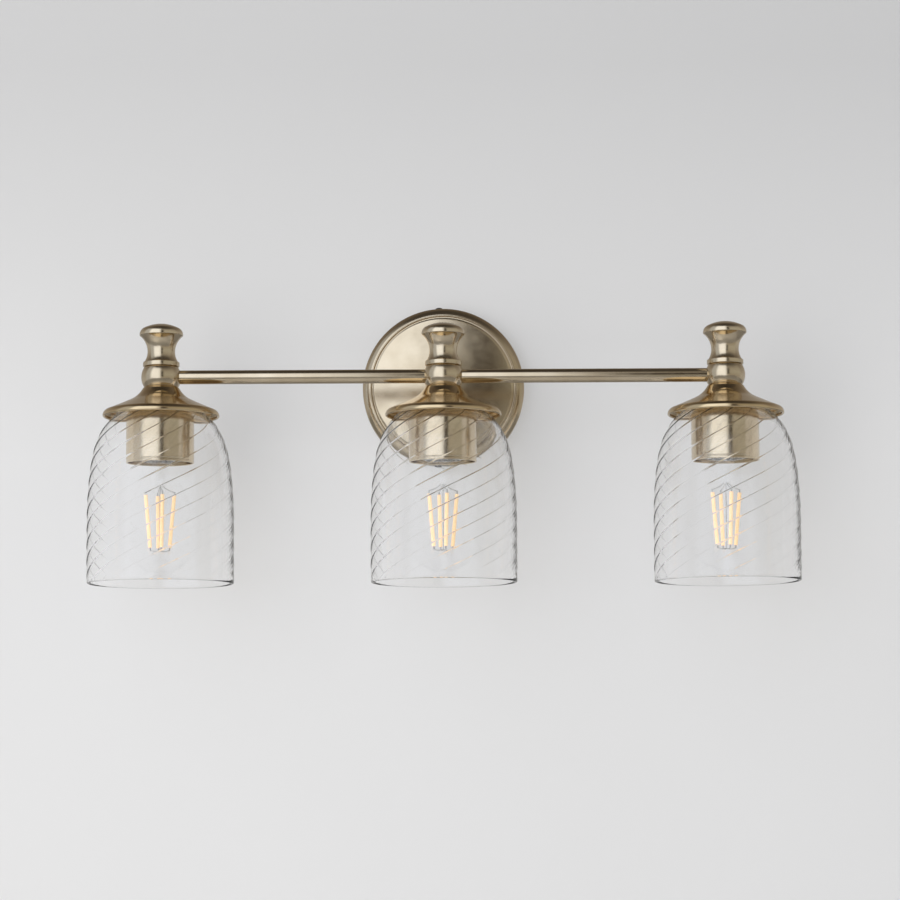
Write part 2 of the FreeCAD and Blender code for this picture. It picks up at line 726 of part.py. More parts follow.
def make_cup(side, x):
    """A plain metal cup, open below, that covers the lamp holder."""
    foot = f"({CUP_TOP} - cup_height)"
    cup = turned(f"socket_cup_{side}", [
        ("pipe_radius + ease", CUP_UNDERSIDE),
        ("cup_radius - cup_bend", CUP_UNDERSIDE, "-(cup_bend - cup_wall)"),
        ("cup_radius - cup_wall", f"{CUP_TOP} - cup_bend"),
        ("cup_radius - cup_wall", foot),
        ("cup_radius", foot),
        ("cup_radius", f"{CUP_TOP} - cup_bend", "cup_bend"),
        ("cup_radius - cup_bend", CUP_TOP),
        ("pipe_radius + ease", CUP_TOP),
    ])
    place(cup, x=x, y="-bar_standoff")


def make_holder(side, x):
    """The ceramic body of a lamp holder, threaded on the nipple, with two holes for its wires."""
    holder = turned(f"lamp_holder_{side}", [
        ("0", f"{HOLDER_TOP} - holder_pipe_seat"),
        ("pipe_radius + slip", f"{HOLDER_TOP} - holder_pipe_seat"),
        ("pipe_radius + slip", HOLDER_TOP),
        ("holder_radius - holder_bevel", HOLDER_TOP),
        ("holder_radius", f"{HOLDER_TOP} - holder_bevel"),
        ("holder_radius", f"{HOLDER_TOP} - holder_height"),
        ("holder_cavity", f"{HOLDER_TOP} - holder_height"),
        ("holder_cavity", HOLDER_FLOOR),
        ("0", HOLDER_FLOOR),
    ])
    for name, shift in (("live", "-wire_gap"), ("neutral", "wire_gap")):
        across, along = ("0", shift) if side == "centre" else (shift, "0")
        hole = circle(sketch_on(holder, "XY_Plane", f"{name}_hole_{side}"),
                      "wire_radius + slip", across, along)
        hole.setExpression("AttachmentOffset.Base.z", sized(f"{HOLDER_FLOOR} + tongue_wall"))
        cut(holder, hole, "holder_roof", backwards=True)
    if side == "right":
        turn(holder, Vector(0, 0, 1), 180)
    place(holder, x=x, y="-bar_standoff")


def make_gaskets():
    """Two rubber rings, one above and one below the glass."""
    gaskets = ring("shade_gaskets", "gasket_radius", "gasket_hole", SHADE_TOP, SPACER_UNDERSIDE)
    outline(gaskets.Tip.Profile[0], [
        ("gasket_hole", CUP_TOP),
        ("gasket_radius", CUP_TOP),
        ("gasket_radius", SHADE_UNDERSIDE),
        ("gasket_hole", SHADE_UNDERSIDE),
    ])
    return gaskets


def make_head_stacks():
    """The pieces that are the same at every head, each kind a group of three or six."""
    stacks = [
        ring("head_nipples", "pipe_radius", "pipe_bore", PIPE_END, "-chamber_half"),
        turned("cap_spacers", [
            ("pipe_radius + ease", SPACER_UNDERSIDE),
            ("spacer_flange", SPACER_UNDERSIDE),
            ("spacer_flange", f"{SPACER_UNDERSIDE} + spacer_flange_height"),
            ("spacer_radius", f"{SPACER_UNDERSIDE} + spacer_flange_height"),
            ("spacer_radius", CAP_UNDERSIDE),
            ("pipe_radius + ease", CAP_UNDERSIDE),
        ]),
        make_gaskets(),
        ring("screw_shells", "shell_radius", "shell_radius - shell_wall",
             f"{HOLDER_FLOOR} - shell_top_gap - shell_height", f"{HOLDER_FLOOR} - shell_top_gap"),
        turned("centre_contacts", [
            ("0", f"{HOLDER_FLOOR} - tongue_rise"),
            ("tongue_button", f"{HOLDER_FLOOR} - tongue_rise"),
            ("tongue_button", f"{HOLDER_FLOOR} - tongue_wall"),
            ("tongue_radius", f"{HOLDER_FLOOR} - tongue_wall"),
            ("tongue_radius", HOLDER_FLOOR),
            ("0", HOLDER_FLOOR),
        ]),
    ]
    nuts = new_body("cup_lock_nuts")
    profile = hexagon(sketch_on(nuts, "XY_Plane", "cup_lock_nut_profile"),
                      "lock_nut_width", "pipe_radius + slip")
    profile.setExpression("AttachmentOffset.Base.z", sized(NUT_UNDERSIDE))
    raised(nuts, profile, "lock_nut_height")
    for stack in stacks + [nuts]:
        three_heads(stack)
        place(stack, x="-head_spacing", y="-bar_standoff")


# ---------------------------------------------------------------- bulbs

def bulb_envelope(inward):
    """Outline of the envelope from its neck to its tip: a hollow bend, then most of a sphere.

    The hollow bend starts upright at the neck, and its radius makes it meet the sphere with no
    corner."""
    radius = f"(bulb_radius - {inward})"
    neck = f"(bulb_neck_radius - {inward})"
    bend = f"((({neck}) ^ 2 + {NECK_DROP} ^ 2 - {radius} ^ 2) / (2 * ({radius} - {neck})))"
    share = f"({radius} / ({radius} + {bend}))"
    meet_across = f"(({neck} + {bend}) * {share})"
    meet_down = f"({BULB_MIDDLE} - {NECK_DROP} * {share})"
    return [
        (neck, "-bulb_base_end + bulb_neck_seat"),
        (neck, "-bulb_base_end", bend),
        (meet_across, f"-{meet_down}", f"-{radius}"),
        (radius, f"-{BULB_MIDDLE}", f"-{radius}"),
        ("0", f"-(bulb_length - {inward})"),
    ]


def make_bulb(side, x):
    """A lamp with a clear envelope, a glass stem, leaning filaments and a screw base."""
    outside = bulb_envelope("0")
    inside = bulb_envelope("bulb_glass_wall")
    envelope = turned(f"bulb_glass_{side}", outside + walked_back(inside))

    contact_end = "-bulb_contact_height"
    insulator_end = "-(bulb_contact_height + insulator_height)"
    contact = turned(f"bulb_contact_{side}", [
        ("0", contact_end),
        ("bulb_contact_radius", contact_end),
        ("bulb_contact_radius", f"{contact_end} + bulb_contact_edge", "bulb_contact_bend"),
        ("bulb_contact_flat", "0"),
        ("0", "0"),
    ])
    insulator = turned(f"bulb_insulator_{side}", [
        ("0", insulator_end),
        ("insulator_radius", insulator_end),
        ("insulator_mouth", contact_end),
        ("0", contact_end),
    ])
    inner = "bulb_base_radius - bulb_base_wall"
    base = turned(f"bulb_base_{side}", [
        (inner, "-bulb_base_end"),
        ("bulb_base_radius", "-bulb_base_end"),
        ("bulb_base_radius", f"{insulator_end} - bulb_base_shoulder"),
        ("insulator_radius", insulator_end),
        ("bulb_base_mouth", insulator_end),
        ("bulb_base_mouth", f"{insulator_end} - bulb_base_wall"),
        ("insulator_radius - bulb_base_wall / 2", f"{insulator_end} - bulb_base_wall"),
        (inner, f"{insulator_end} - bulb_base_shoulder - bulb_base_wall / 2"),
    ])
    stem = turned(f"bulb_stem_{side}", [
        ("0", "-stem_end"),
        ("stem_radius - stem_tip_bend", "-stem_end", "stem_tip_bend"),
        ("stem_radius", "-stem_end + stem_tip_bend"),
        ("stem_radius", "-stem_neck", "-stem_flare_bend"),
        ("stem_flare", "-bulb_base_end"),
        ("stem_flare", "-bulb_base_end + stem_flare_edge"),
        ("0", "-bulb_base_end + stem_flare_edge"),
    ])
    for piece in (envelope, contact, insulator, base, stem):
        place(piece, x=x, y="-bar_standoff", z=BULB_TOP)

    filament = turned(f"bulb_filaments_{side}", [
        ("0", "-filament_length"),
        ("filament_radius", "-filament_length"),
        ("filament_radius", "0"),
        ("lead_radius", "0"),
        ("lead_radius", "lead_length"),
        ("0", "lead_length"),
    ])
    sketch = filament.Tip.Profile[0]
    sketch.setExpression("AttachmentOffset.Base.x", sized("filament_top_spread"))
    sketch.setExpression("AttachmentOffset.Base.y", sized("-filament_top"))
    sketch.setExpression("AttachmentOffset.Rotation.Angle", sized("filament_lean"))
    upright = next(part for part in filament.Origin.OriginFeatures if part.Role == "Z_Axis")
    spread = filament.newObject("PartDesign::PolarPattern", f"{filament.Name}_round")
    spread.Originals = [filament.Tip]
    spread.Axis = (upright, [""])
    spread.Angle = 360
    spread.setExpression("Occurrences", sized("filament_count"))
    filament.Tip = spread
    turn(filament, Vector(0, 0, 1), value("filament_turn"))
    place(filament, x=x, y="-bar_standoff", z=BULB_TOP)


# ---------------------------------------------------------------- wiring

def rounded_path(points, bends):
    """Straight runs through the points, joined by tangent arcs of the given radii."""
    edges = []
    start = points[0]
    for number, bend in enumerate(bends, start=1):
        corner = points[number]
        back = (points[number - 1] - corner).normalize()
        ahead = (points[number + 1] - corner).normalize()
        half_turn = (math.pi - back.getAngle(ahead)) / 2
        reach = bend * math.tan(half_turn)
        arc_start = corner + back * reach
        arc_end = corner + ahead * reach
        to_centre = (back + ahead).normalize()
        arc_middle = corner + to_centre * (bend / math.cos(half_turn) - bend)
        edges.append(Part.LineSegment(start, arc_start).toShape())
        edges.append(Part.Arc(arc_start, arc_middle, arc_end).toShape())
        start = arc_end
    edges.append(Part.LineSegment(start, points[-1]).toShape())
    return Part.Wire(edges)


def wire_along(points, bends):
    path = rounded_path(points, bends)
    direction = points[1] - points[0]
    section = Part.Wire(Part.makeCircle(value("wire_radius"), points[0], direction))
    return path.makePipeShell([section], True, False)


def make_wires(label, polarity):
    """One wire for each head, from the wire nut, through the arm and the bar, into the holder.

    polarity is 1 for the live wires, above the tubes' axes, and -1 for the neutral ones, below."""
    gap = value("wire_gap") * polarity
    spacing = value("head_spacing")
    standoff = value("bar_standoff")
    pitch = value("wire_pitch")
    bend = value("wire_bend")
    wide_bend = bend + value("wire_gap") * (1 + polarity)
    holder_end = value(f"{HOLDER_FLOOR} + tongue_wall + ease")
    nut_end = value("wire_nut_place + wire_grip") * polarity
    wires = []
    for place_in_arm in (-1, 0, 1):
        across = pitch * place_in_arm
        turn_height = value("wire_turn") - across * polarity
        inner_bend = bend + pitch * (1 - place_in_arm * polarity)
        points = [
            Vector(nut_end, -turn_height, gap),
            Vector(across, -turn_height, gap),
        ]
        if place_in_arm:
            points.append(Vector(across, -standoff, gap))
            drop = place_in_arm * (spacing + gap)
            points.append(Vector(drop, -standoff, gap))
            points.append(Vector(drop, -standoff, holder_end))
            bends = [inner_bend, bend, wide_bend]
        else:
            points.append(Vector(across, -standoff - gap, gap))
            points.append(Vector(across, -standoff - gap, holder_end))
            bends = [inner_bend, wide_bend]
        wires.append(wire_along(points, bends))
    group = document.addObject("Part::Feature", label)
    group.Label = label
    group.Shape = Part.makeCompound(wires)
    pieces.append(group)


def make_ground_wire():
    """From the tip of the ground lug up and back to the head of the ground screw."""
    lug_face = value(NUT_FRONT)
    start = value("lug_tongue - wire_radius * 2")
    up = value("ground_height")
    points = [
        Vector(0, value("wire_radius + ease") - lug_face, start),
        Vector(0, value("wire_radius + ease") - lug_face, up),
        Vector(0, -value("strap_wall + ground_head_height"), up),
    ]
    wire = document.addObject("Part::Feature", "ground_wire")
    wire.Label = "ground_wire"
    wire.Shape = wire_along(points, [value("ground_wire_bend")])
    pieces.append(wire)


def make_wire_nuts():
    """Two tapered twist-on connectors, mouth towards the centre."""
    nuts = turned("wire_nuts", [
        ("wire_nut_bore", "wire_nut_place"),
        ("wire_nut_mouth", "wire_nut_place"),
        ("wire_nut_mouth", "wire_nut_place + wire_nut_skirt"),
        ("wire_nut_tip", "wire_nut_place + wire_nut_length"),
        ("0", "wire_nut_place + wire_nut_length"),
        ("0", "wire_nut_place + wire_grip + ease"),
        ("wire_nut_bore", "wire_nut_place + wire_grip + ease"),
    ])
    plane = next(part for part in nuts.Origin.OriginFeatures if part.Role == "XY_Plane")
    other = nuts.newObject("PartDesign::Mirrored", "neutral_wire_nut")
    other.Originals = [nuts.Tip]
    other.MirrorPlane = (plane, [""])
    nuts.Tip = other
    turn(nuts, Vector(0, 1, 0), 90)
    place(nuts, y="-wire_turn")


# ---------------------------------------------------------------- the whole light

make_canopy()
make_strap()
make_side_screws()
make_ground_screw()
make_ground_lug()
make_arm()
make_bar_tubes()
for head, head_x in HEADS.items():
    make_hub(head, head_x)
    make_finial(head, head_x)
    make_cap(head, head_x)
    make_shade(head, head_x)
    make_cup(head, head_x)
    make_holder(head, head_x)
    make_bulb(head, head_x)
make_head_stacks()
make_wires("live_wires", 1)
make_wires("neutral_wires", -1)
make_ground_wire()
make_wire_nuts()
document.recompute()

for thing in document.Objects:
    if "Invalid" in thing.State or "Error" in thing.State:
        raise ValueError(f"{thing.Name} is {thing.State}")
for piece in pieces:
    if piece.Shape.isNull() or not piece.Shape.isValid():
        raise ValueError(f"{piece.Label} has no valid shape")

os.makedirs("parts", exist_ok=True)
for piece in pieces:
    piece.Shape.exportStep(f"parts/{piece.Label}.step")
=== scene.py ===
import math

import bmesh
import bpy
from mathutils import Matrix, Vector


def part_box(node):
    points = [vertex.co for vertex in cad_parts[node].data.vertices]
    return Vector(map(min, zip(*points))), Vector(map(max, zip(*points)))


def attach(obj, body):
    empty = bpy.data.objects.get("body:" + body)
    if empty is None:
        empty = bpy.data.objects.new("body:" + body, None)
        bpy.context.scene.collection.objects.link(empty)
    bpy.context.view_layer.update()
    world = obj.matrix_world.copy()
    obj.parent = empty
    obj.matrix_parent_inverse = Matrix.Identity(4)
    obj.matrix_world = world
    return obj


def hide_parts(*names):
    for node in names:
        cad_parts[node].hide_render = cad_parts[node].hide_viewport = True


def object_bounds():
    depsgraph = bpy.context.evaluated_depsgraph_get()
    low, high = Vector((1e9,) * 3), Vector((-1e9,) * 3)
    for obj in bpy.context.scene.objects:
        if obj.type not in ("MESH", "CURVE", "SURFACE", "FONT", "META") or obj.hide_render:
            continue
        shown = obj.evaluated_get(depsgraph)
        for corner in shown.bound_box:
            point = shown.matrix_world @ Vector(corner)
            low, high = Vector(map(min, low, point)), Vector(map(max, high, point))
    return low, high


# A three-head vanity light on a wall, built around its CAD frame. Outlines are in millimetres,
# as (radius, height) from the axis they turn about, and objects are placed in metres.

MM = 0.001
HEADS = ("left", "centre", "right")
TAU = 2 * math.pi

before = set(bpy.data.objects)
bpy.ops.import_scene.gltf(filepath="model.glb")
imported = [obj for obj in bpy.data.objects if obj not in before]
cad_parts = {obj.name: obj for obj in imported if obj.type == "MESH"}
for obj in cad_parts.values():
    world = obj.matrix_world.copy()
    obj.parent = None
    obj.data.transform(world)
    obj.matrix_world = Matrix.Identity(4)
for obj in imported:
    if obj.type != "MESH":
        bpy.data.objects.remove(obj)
cad_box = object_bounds()


def middle(node):
    low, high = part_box(node)
    return (low + high) / 2


def radius_of(node):
    """Radius in millimetres of a round node, from its width in X."""
    low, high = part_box(node)
    return (high.x - low.x) / 2 / MM


def level(node, end):
    """Height in millimetres of a node's foot (end 0) or top (end 1)."""
    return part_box(node)[end].z / MM


# ---------------------------------------------------------------- outlines

NEAREST = 0.02      # least distance between neighbouring points of a run of arcs


def rounded(corners, closed=True):
    """Points of an outline. A corner is (across, up), or (across, up, fillet) to round it."""
    points = []
    count = len(corners)
    for number, corner in enumerate(corners):
        here = Vector(corner[:2])
        end_point = not closed and number in (0, count - 1)
        if len(corner) == 2 or end_point:
            points.append(tuple(here))
            continue
        back = Vector(corners[number - 1][:2]) - here
        ahead = Vector(corners[(number + 1) % count][:2]) - here
        reach = min(corner[2], back.length * 0.45, ahead.length * 0.45)
        start = here + back.normalized() * reach
        end = here + ahead.normalized() * reach
        for step in range(5):
            share = step / 4
            points.append(tuple(start * (1 - share) ** 2 + here * 2 * share * (1 - share)
                                + end * share ** 2))
    return points


def bow(start, end, sag, steps):
    """Points of an arc strictly between start and end; sag is its rise to the left of the way."""
    start = Vector(start)
    end = Vector(end)
    half = (end - start).length / 2
    radius = (half ** 2 + sag ** 2) / (2 * abs(sag))
    along = (end - start).normalized()
    left = Vector((-along.y, along.x)) * math.copysign(1, sag)
    centre = (start + end) / 2 + left * (abs(sag) - radius)
    spread = math.asin(min(1, half / radius))
    if abs(sag) > half:
        spread = math.pi - spread
    points = []
    for step in range(1, steps):
        angle = spread * (2 * step / steps - 1)
        points.append(tuple(centre + left * radius * math.cos(angle) + along * radius * math.sin(angle)))
    return points


def leaning(start, bends, inward=0, steps=14):
    """Points of tangent arcs that climb from start, upright at first.

    A bend is (radius, degrees of lean at its end); a negative radius leans back out. inward moves
    the run towards its inner side."""
    across, up = start
    lean = 0
    points = []
    for radius, degrees in bends:
        end = math.radians(degrees)
        for step in range(steps + 1):
            angle = lean + (end - lean) * step / steps
            r = across - radius * (math.cos(lean) - math.cos(angle)) - inward * math.cos(angle)
            z = up + radius * (math.sin(angle) - math.sin(lean)) - inward * math.sin(angle)
            if not points or math.dist(points[-1], (r, z)) > NEAREST:
                points.append((r, z))
        across -= radius * (math.cos(lean) - math.cos(end))
        up += radius * (math.sin(end) - math.sin(lean))
        lean = end
    return points


def rows(start, end, step):
    """Heights from start to end, about a step apart."""
    count = max(1, round(abs(end - start) / step))
    return [start + (end - start) * number / count for number in range(count + 1)]


def rising(value, start, end):
    """0 up to start, then straight up to 1 at end."""
    return min(1, max(0, (value - start) / (end - start)))


# ---------------------------------------------------------------- meshes

def finished(name, vertices, faces, material, sharp=40):
    """An object from raw vertices and faces: closed up, outward normals, smooth but for edges."""
    mesh = bpy.data.meshes.new(name)
    mesh.from_pydata(vertices, [], faces)
    work = bmesh.new()
    work.from_mesh(mesh)
    bmesh.ops.remove_doubles(work, verts=work.verts, dist=1e-7)
    bmesh.ops.dissolve_degenerate(work, edges=work.edges, dist=1e-7)
    bmesh.ops.recalc_face_normals(work, faces=work.faces)
    work.to_mesh(mesh)
    work.free()
    mesh.shade_smooth()
    mesh.set_sharp_from_angle(angle=math.radians(sharp))
    mesh.materials.append(material)
    piece = bpy.data.objects.new(name, mesh)
    bpy.context.scene.collection.objects.link(piece)
    return piece


def skin(rings, closed):
    """Faces between rings of vertex numbers; a ring of one vertex is a point on the axis."""
    steps = max(len(ring) for ring in rings)
    pairs = list(zip(rings, rings[1:]))
    if closed:
        pairs.append((rings[-1], rings[0]))
    faces = []
    for low, high in pairs:
        if len(low) == 1 and len(high) == 1:
            continue
        for step in range(steps):
            after = (step + 1) % steps
            corners = [low[step % len(low)], low[after % len(low)],
                       high[after % len(high)], high[step % len(high)]]
            faces.append(tuple(dict.fromkeys(corners)))
    return faces


def turned(name, outline, material, steps, closed=True, along=None, shape=None):
    """Turn an outline about Z, or about another axis given by along.

    shape(radius, height, angle) gives another radius at a point, for threads and the like."""
    vertices = []
    rings = []
    for radius, height in outline:
        if radius < 1e-6:
            rings.append([len(vertices)])
            vertices.append((0, 0, height * MM))
            continue
        rings.append(list(range(len(vertices), len(vertices) + steps)))
        for step in range(steps):
            angle = TAU * step / steps
            r = shape(radius, height, angle) if shape else radius
            vertices.append((r * MM * math.cos(angle), r * MM * math.sin(angle), height * MM))
    piece = finished(name, vertices, skin(rings, closed), material)
    if along:
        turn = Vector((0, 0, 1)).rotation_difference(Vector(along))
        piece.data.transform(turn.to_matrix().to_4x4())
    return piece


def rod(points, radius, sides):
    """Vertices and faces of a round rod through the points, closed at both ends."""
    vertices = []
    faces = []
    points = [Vector(point) for point in points]
    side = None
    for number, point in enumerate(points):
        before = points[max(0, number - 1)]
        after = points[min(len(points) - 1, number + 1)]
        along = (after - before).normalized()
        if side is None:
            side = along.orthogonal().normalized()
        side = (side - along * side.dot(along)).normalized()
        up = along.cross(side)
        for step in range(sides):
            angle = TAU * step / sides
            vertices.append(point + (side * math.cos(angle) + up * math.sin(angle)) * radius)
        if number:
            base = (number - 1) * sides
            for step in range(sides):
                after_step = (step + 1) % sides
                faces.append((base + step, base + after_step,
                              base + sides + after_step, base + sides + step))
    faces.append(tuple(range(sides)))
    last = len(vertices) - sides
    faces.append(tuple(range(last, last + sides)))
    return [tuple(vertex * MM) for vertex in vertices], faces


def rods(name, runs, material, sides):
    """One object of several rods; a run is (points, radius)."""
    vertices = []
    faces = []
    for points, radius in runs:
        rod_vertices, rod_faces = rod(points, radius, sides)
        start = len(vertices)
        vertices += rod_vertices
        faces += [tuple(corner + start for corner in face) for face in rod_faces]
    return finished(name, vertices, faces, material, sharp=60)


def smooth_line(points, steps=6):
    """A Catmull-Rom line through the points."""
    points = [Vector(point) for point in points]
    line = []
    padded = [2 * points[0] - points[1]] + points + [2 * points[-1] - points[-2]]
    for number in range(1, len(padded) - 2):
        a, b, c, d = padded[number - 1:number + 3]
        for step in range(steps):
            t = step / steps
            line.append(0.5 * ((2 * b) + (c - a) * t + (2 * a - 5 * b + 4 * c - d) * t * t
                               + (3 * b - a - 3 * c + d) * t ** 3))
    line.append(points[-1])
    return line


def put(piece, place, body, slot, *replaced):
    """Place a piece, tie it to its CAD body and hide the CAD nodes that it stands for. slot is not used."""
    piece.location = place
    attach(piece, body)
    if replaced:
        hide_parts(*replaced)
    return piece


# ---------------------------------------------------------------- materials

class Shader:
    """A node material built around one Principled shader."""

    def __init__(self, name, **values):
        self.material = bpy.data.materials.new(name)
        self.material.use_nodes = True
        self.tree = self.material.node_tree
        self.shader = self.tree.nodes["Principled BSDF"]
        for socket, value in values.items():
            self.shader.inputs[socket.replace("_", " ")].default_value = value
        self.place = self.tree.nodes.new("ShaderNodeTexCoord").outputs["Object"]

    def node(self, kind, inputs=None, **settings):
        made = self.tree.nodes.new(kind)
        for name, value in settings.items():
            setattr(made, name, value)
        for name, value in (inputs or {}).items():
            if isinstance(value, bpy.types.NodeSocket):
                self.tree.links.new(value, made.inputs[name])
            else:
                made.inputs[name].default_value = value
        return made

    def noise(self, scale, detail, stretch=(1, 1, 1)):
        """Noise in object space; stretch multiplies its frequency along each axis."""
        mapping = self.node("ShaderNodeMapping", {"Vector": self.place, "Scale": stretch})
        made = self.node("ShaderNodeTexNoise", {
            "Vector": mapping.outputs["Vector"], "Scale": scale, "Detail": detail, "Roughness": 0.55})
        return made.outputs["Fac"]

    def spread(self, value, low, high, start=0.0, end=1.0):
        """low up to start, rising or falling straight to high at end."""
        made = self.node("ShaderNodeMapRange", {
            "Value": value, "From Min": start, "From Max": end, "To Min": low, "To Max": high})
        return made.outputs["Result"]

    def blend(self, share, first, second):
        made = self.node("ShaderNodeMix", data_type="RGBA")
        for socket, value in ((0, share), (6, first), (7, second)):
            if isinstance(value, bpy.types.NodeSocket):
                self.tree.links.new(value, made.inputs[socket])
            else:
                made.inputs[socket].default_value = value
        return made.outputs[2]

    def calculate(self, operation, first, second):
        made = self.node("ShaderNodeMath", {0: first, 1: second}, operation=operation)
        return made.outputs[0]

    def edges(self, start, end):
        """0 before start and 1 past end: above 0.5 lie outer edges, below it hollow corners."""
        pointiness = self.node("ShaderNodeNewGeometry").outputs["Pointiness"]
        return self.spread(pointiness, 0, 1, start, end)

    def feed(self, socket, value):
        self.tree.links.new(value, self.shader.inputs[socket])

    def bump(self, height, strength, distance):
        made = self.node("ShaderNodeBump", {"Height": height, "Strength": strength, "Distance": distance})
        self.tree.links.new(made.outputs["Normal"], self.shader.inputs["Normal"])


def rgb(red, green, blue):
    return (red, green, blue, 1)


AROUND = (0.03, 0.03, 1.0)          # stretches grain into rings about a piece's upright axis
ALONG_X = (0.02, 1.0, 1.0)
BRASS_PALE = rgb(0.70, 0.59, 0.43)
BRASS_DEEP = rgb(0.57, 0.46, 0.31)


def satin_brass(name, brush, roughness=(0.13, 0.24), grain_depth=0.05):
    """Antique brass with a fine grain and a painted highlight on its outer edges; brush holds the grain's
    frequency along each axis.
    """
    made = Shader(name, Metallic=1.0)
    clouds = made.noise(35, 4)
    grain = made.noise(1500, 2, brush)
    tint = made.blend(made.spread(clouds, 0, 0.7, 0.35, 0.7), BRASS_PALE, BRASS_DEEP)
    tint = made.blend(made.spread(grain, 0, 0.12, 0.35, 0.65), tint, BRASS_DEEP)
    # painted highlight: outer edges are given a paler brass colour
    made.feed("Base Color", made.blend(made.edges(0.53, 0.62), tint, rgb(0.80, 0.70, 0.52)))
    spots = made.noise(130, 5)
    made.feed("Roughness", made.spread(made.calculate("ADD", grain, spots), *roughness, 0.7, 1.3))
    made.bump(grain, grain_depth, 0.00004)
    return made.material


def brushed_face():
    """The canopy's finish: spun brass whose grain runs round, so highlights fan out from the centre, with
    painted shade in its hollow corners.
    """
    made = Shader("canopy_brass", Metallic=1.0, Anisotropic=0.5)
    tangent = made.node("ShaderNodeTangent", direction_type="RADIAL", axis="Y")
    made.feed("Tangent", tangent.outputs[0])
    clouds = made.noise(22, 4)
    tint = made.blend(made.spread(clouds, 0, 1, 0.3, 0.7), BRASS_PALE, BRASS_DEEP)
    # painted shade: hollow corners, such as the groove round the face, are given a dark brown
    made.feed("Base Color", made.blend(made.edges(0.485, 0.44), tint, rgb(0.16, 0.12, 0.08)))
    made.feed("Roughness", made.spread(made.noise(90, 5), 0.17, 0.25, 0.35, 0.7))
    made.bump(made.noise(500, 2), 0.012, 0.00004)
    return made.material


def polished_brass():
    """The brighter finish of the caps, with faint spinning marks and smudges."""
    made = Shader("polished_brass", Metallic=1.0)
    clouds = made.noise(30, 4)
    share = made.spread(clouds, 0, 1, 0.35, 0.7)
    made.feed("Base Color", made.blend(share, rgb(0.68, 0.53, 0.32), rgb(0.57, 0.43, 0.26)))
    smudge = made.noise(60, 6)
    made.feed("Roughness", made.spread(smudge, 0.10, 0.19, 0.4, 0.75))
    rings = made.noise(700, 2, AROUND)
    made.bump(rings, 0.04, 0.00005)
    return made.material


def plain_metal(name, pale, deep, roughness):
    """A bare or plated metal: two tones of one colour in fine speckles."""
    made = Shader(name, Metallic=1.0)
    speckle = made.noise(400, 4)
    made.feed("Base Color", made.blend(made.spread(speckle, 0, 1, 0.35, 0.65), pale, deep))
    made.feed("Roughness", made.spread(made.noise(120, 5), *roughness, 0.35, 0.7))
    made.bump(speckle, 0.12, 0.00005)
    return made.material


def shade_glass():
    """Solid clear glass with faint waviness and a trace of dust."""
    made = Shader("shade_glass", Metallic=0.0, IOR=1.39, Transmission_Weight=1.0)
    dust = made.noise(220, 6)
    share = made.spread(dust, 0, 1, 0.62, 0.85)
    made.feed("Base Color", made.blend(share, rgb(1, 1, 1), rgb(0.90, 0.91, 0.90)))
    made.feed("Roughness", made.spread(dust, 0, 0.05, 0.58, 0.85))
    made.bump(made.noise(38, 2), 0.10, 0.0003)
    return made.material


def envelope_glass(name, least, most):
    """Thin glass: see-through, with a mirror-like sheen that grows from least to most at its edges."""
    made = Shader(name)
    facing = made.node("ShaderNodeLayerWeight", {"Blend": 0.35}).outputs["Facing"]
    clear = made.node("ShaderNodeBsdfTransparent", {"Color": rgb(1, 1, 1)})
    gloss = made.node("ShaderNodeBsdfGlossy", {"Color": rgb(0.95, 0.95, 0.95), "Roughness": 0.04})
    share = made.spread(made.calculate("POWER", facing, 4), least, most)
    mix = made.node("ShaderNodeMixShader", {0: share, 1: clear.outputs[0], 2: gloss.outputs[0]})
    wave = made.node("ShaderNodeBump", {"Height": made.noise(60, 2), "Strength": 0.05, "Distance": 0.0002})
    made.tree.links.new(wave.outputs["Normal"], gloss.inputs["Normal"])
    made.tree.links.new(mix.outputs[0], made.tree.nodes["Material Output"].inputs["Surface"])
    made.tree.nodes.remove(made.shader)
    return made.material


def matte(name, pale, deep, roughness):
    """A plain non-metal: two tones of one colour, uneven gloss and a fine surface."""
    made = Shader(name, Metallic=0.0)
    tone = made.noise(300, 4)
    made.feed("Base Color", made.blend(made.spread(tone, 0, 1, 0.35, 0.65), pale, deep))
    made.feed("Roughness", made.spread(made.noise(180, 3), *roughness, 0.35, 0.65))
    made.bump(tone, 0.1, 0.0001)
    return made.material


def filament_phosphor():
    """Amber silicone over a row of small light chips, faintly alight."""
    made = Shader("filament_phosphor", Metallic=0.0, Emission_Strength=0.42)
    cells = made.noise(900, 2)
    tone = made.blend(made.spread(cells, 0, 1, 0.3, 0.7), rgb(1.0, 0.75, 0.47), rgb(0.97, 0.64, 0.34))
    made.feed("Base Color", tone)
    made.feed("Emission Color", tone)
    made.feed("Roughness", made.spread(cells, 0.35, 0.55))
    made.bump(cells, 0.2, 0.0001)
    return made.material


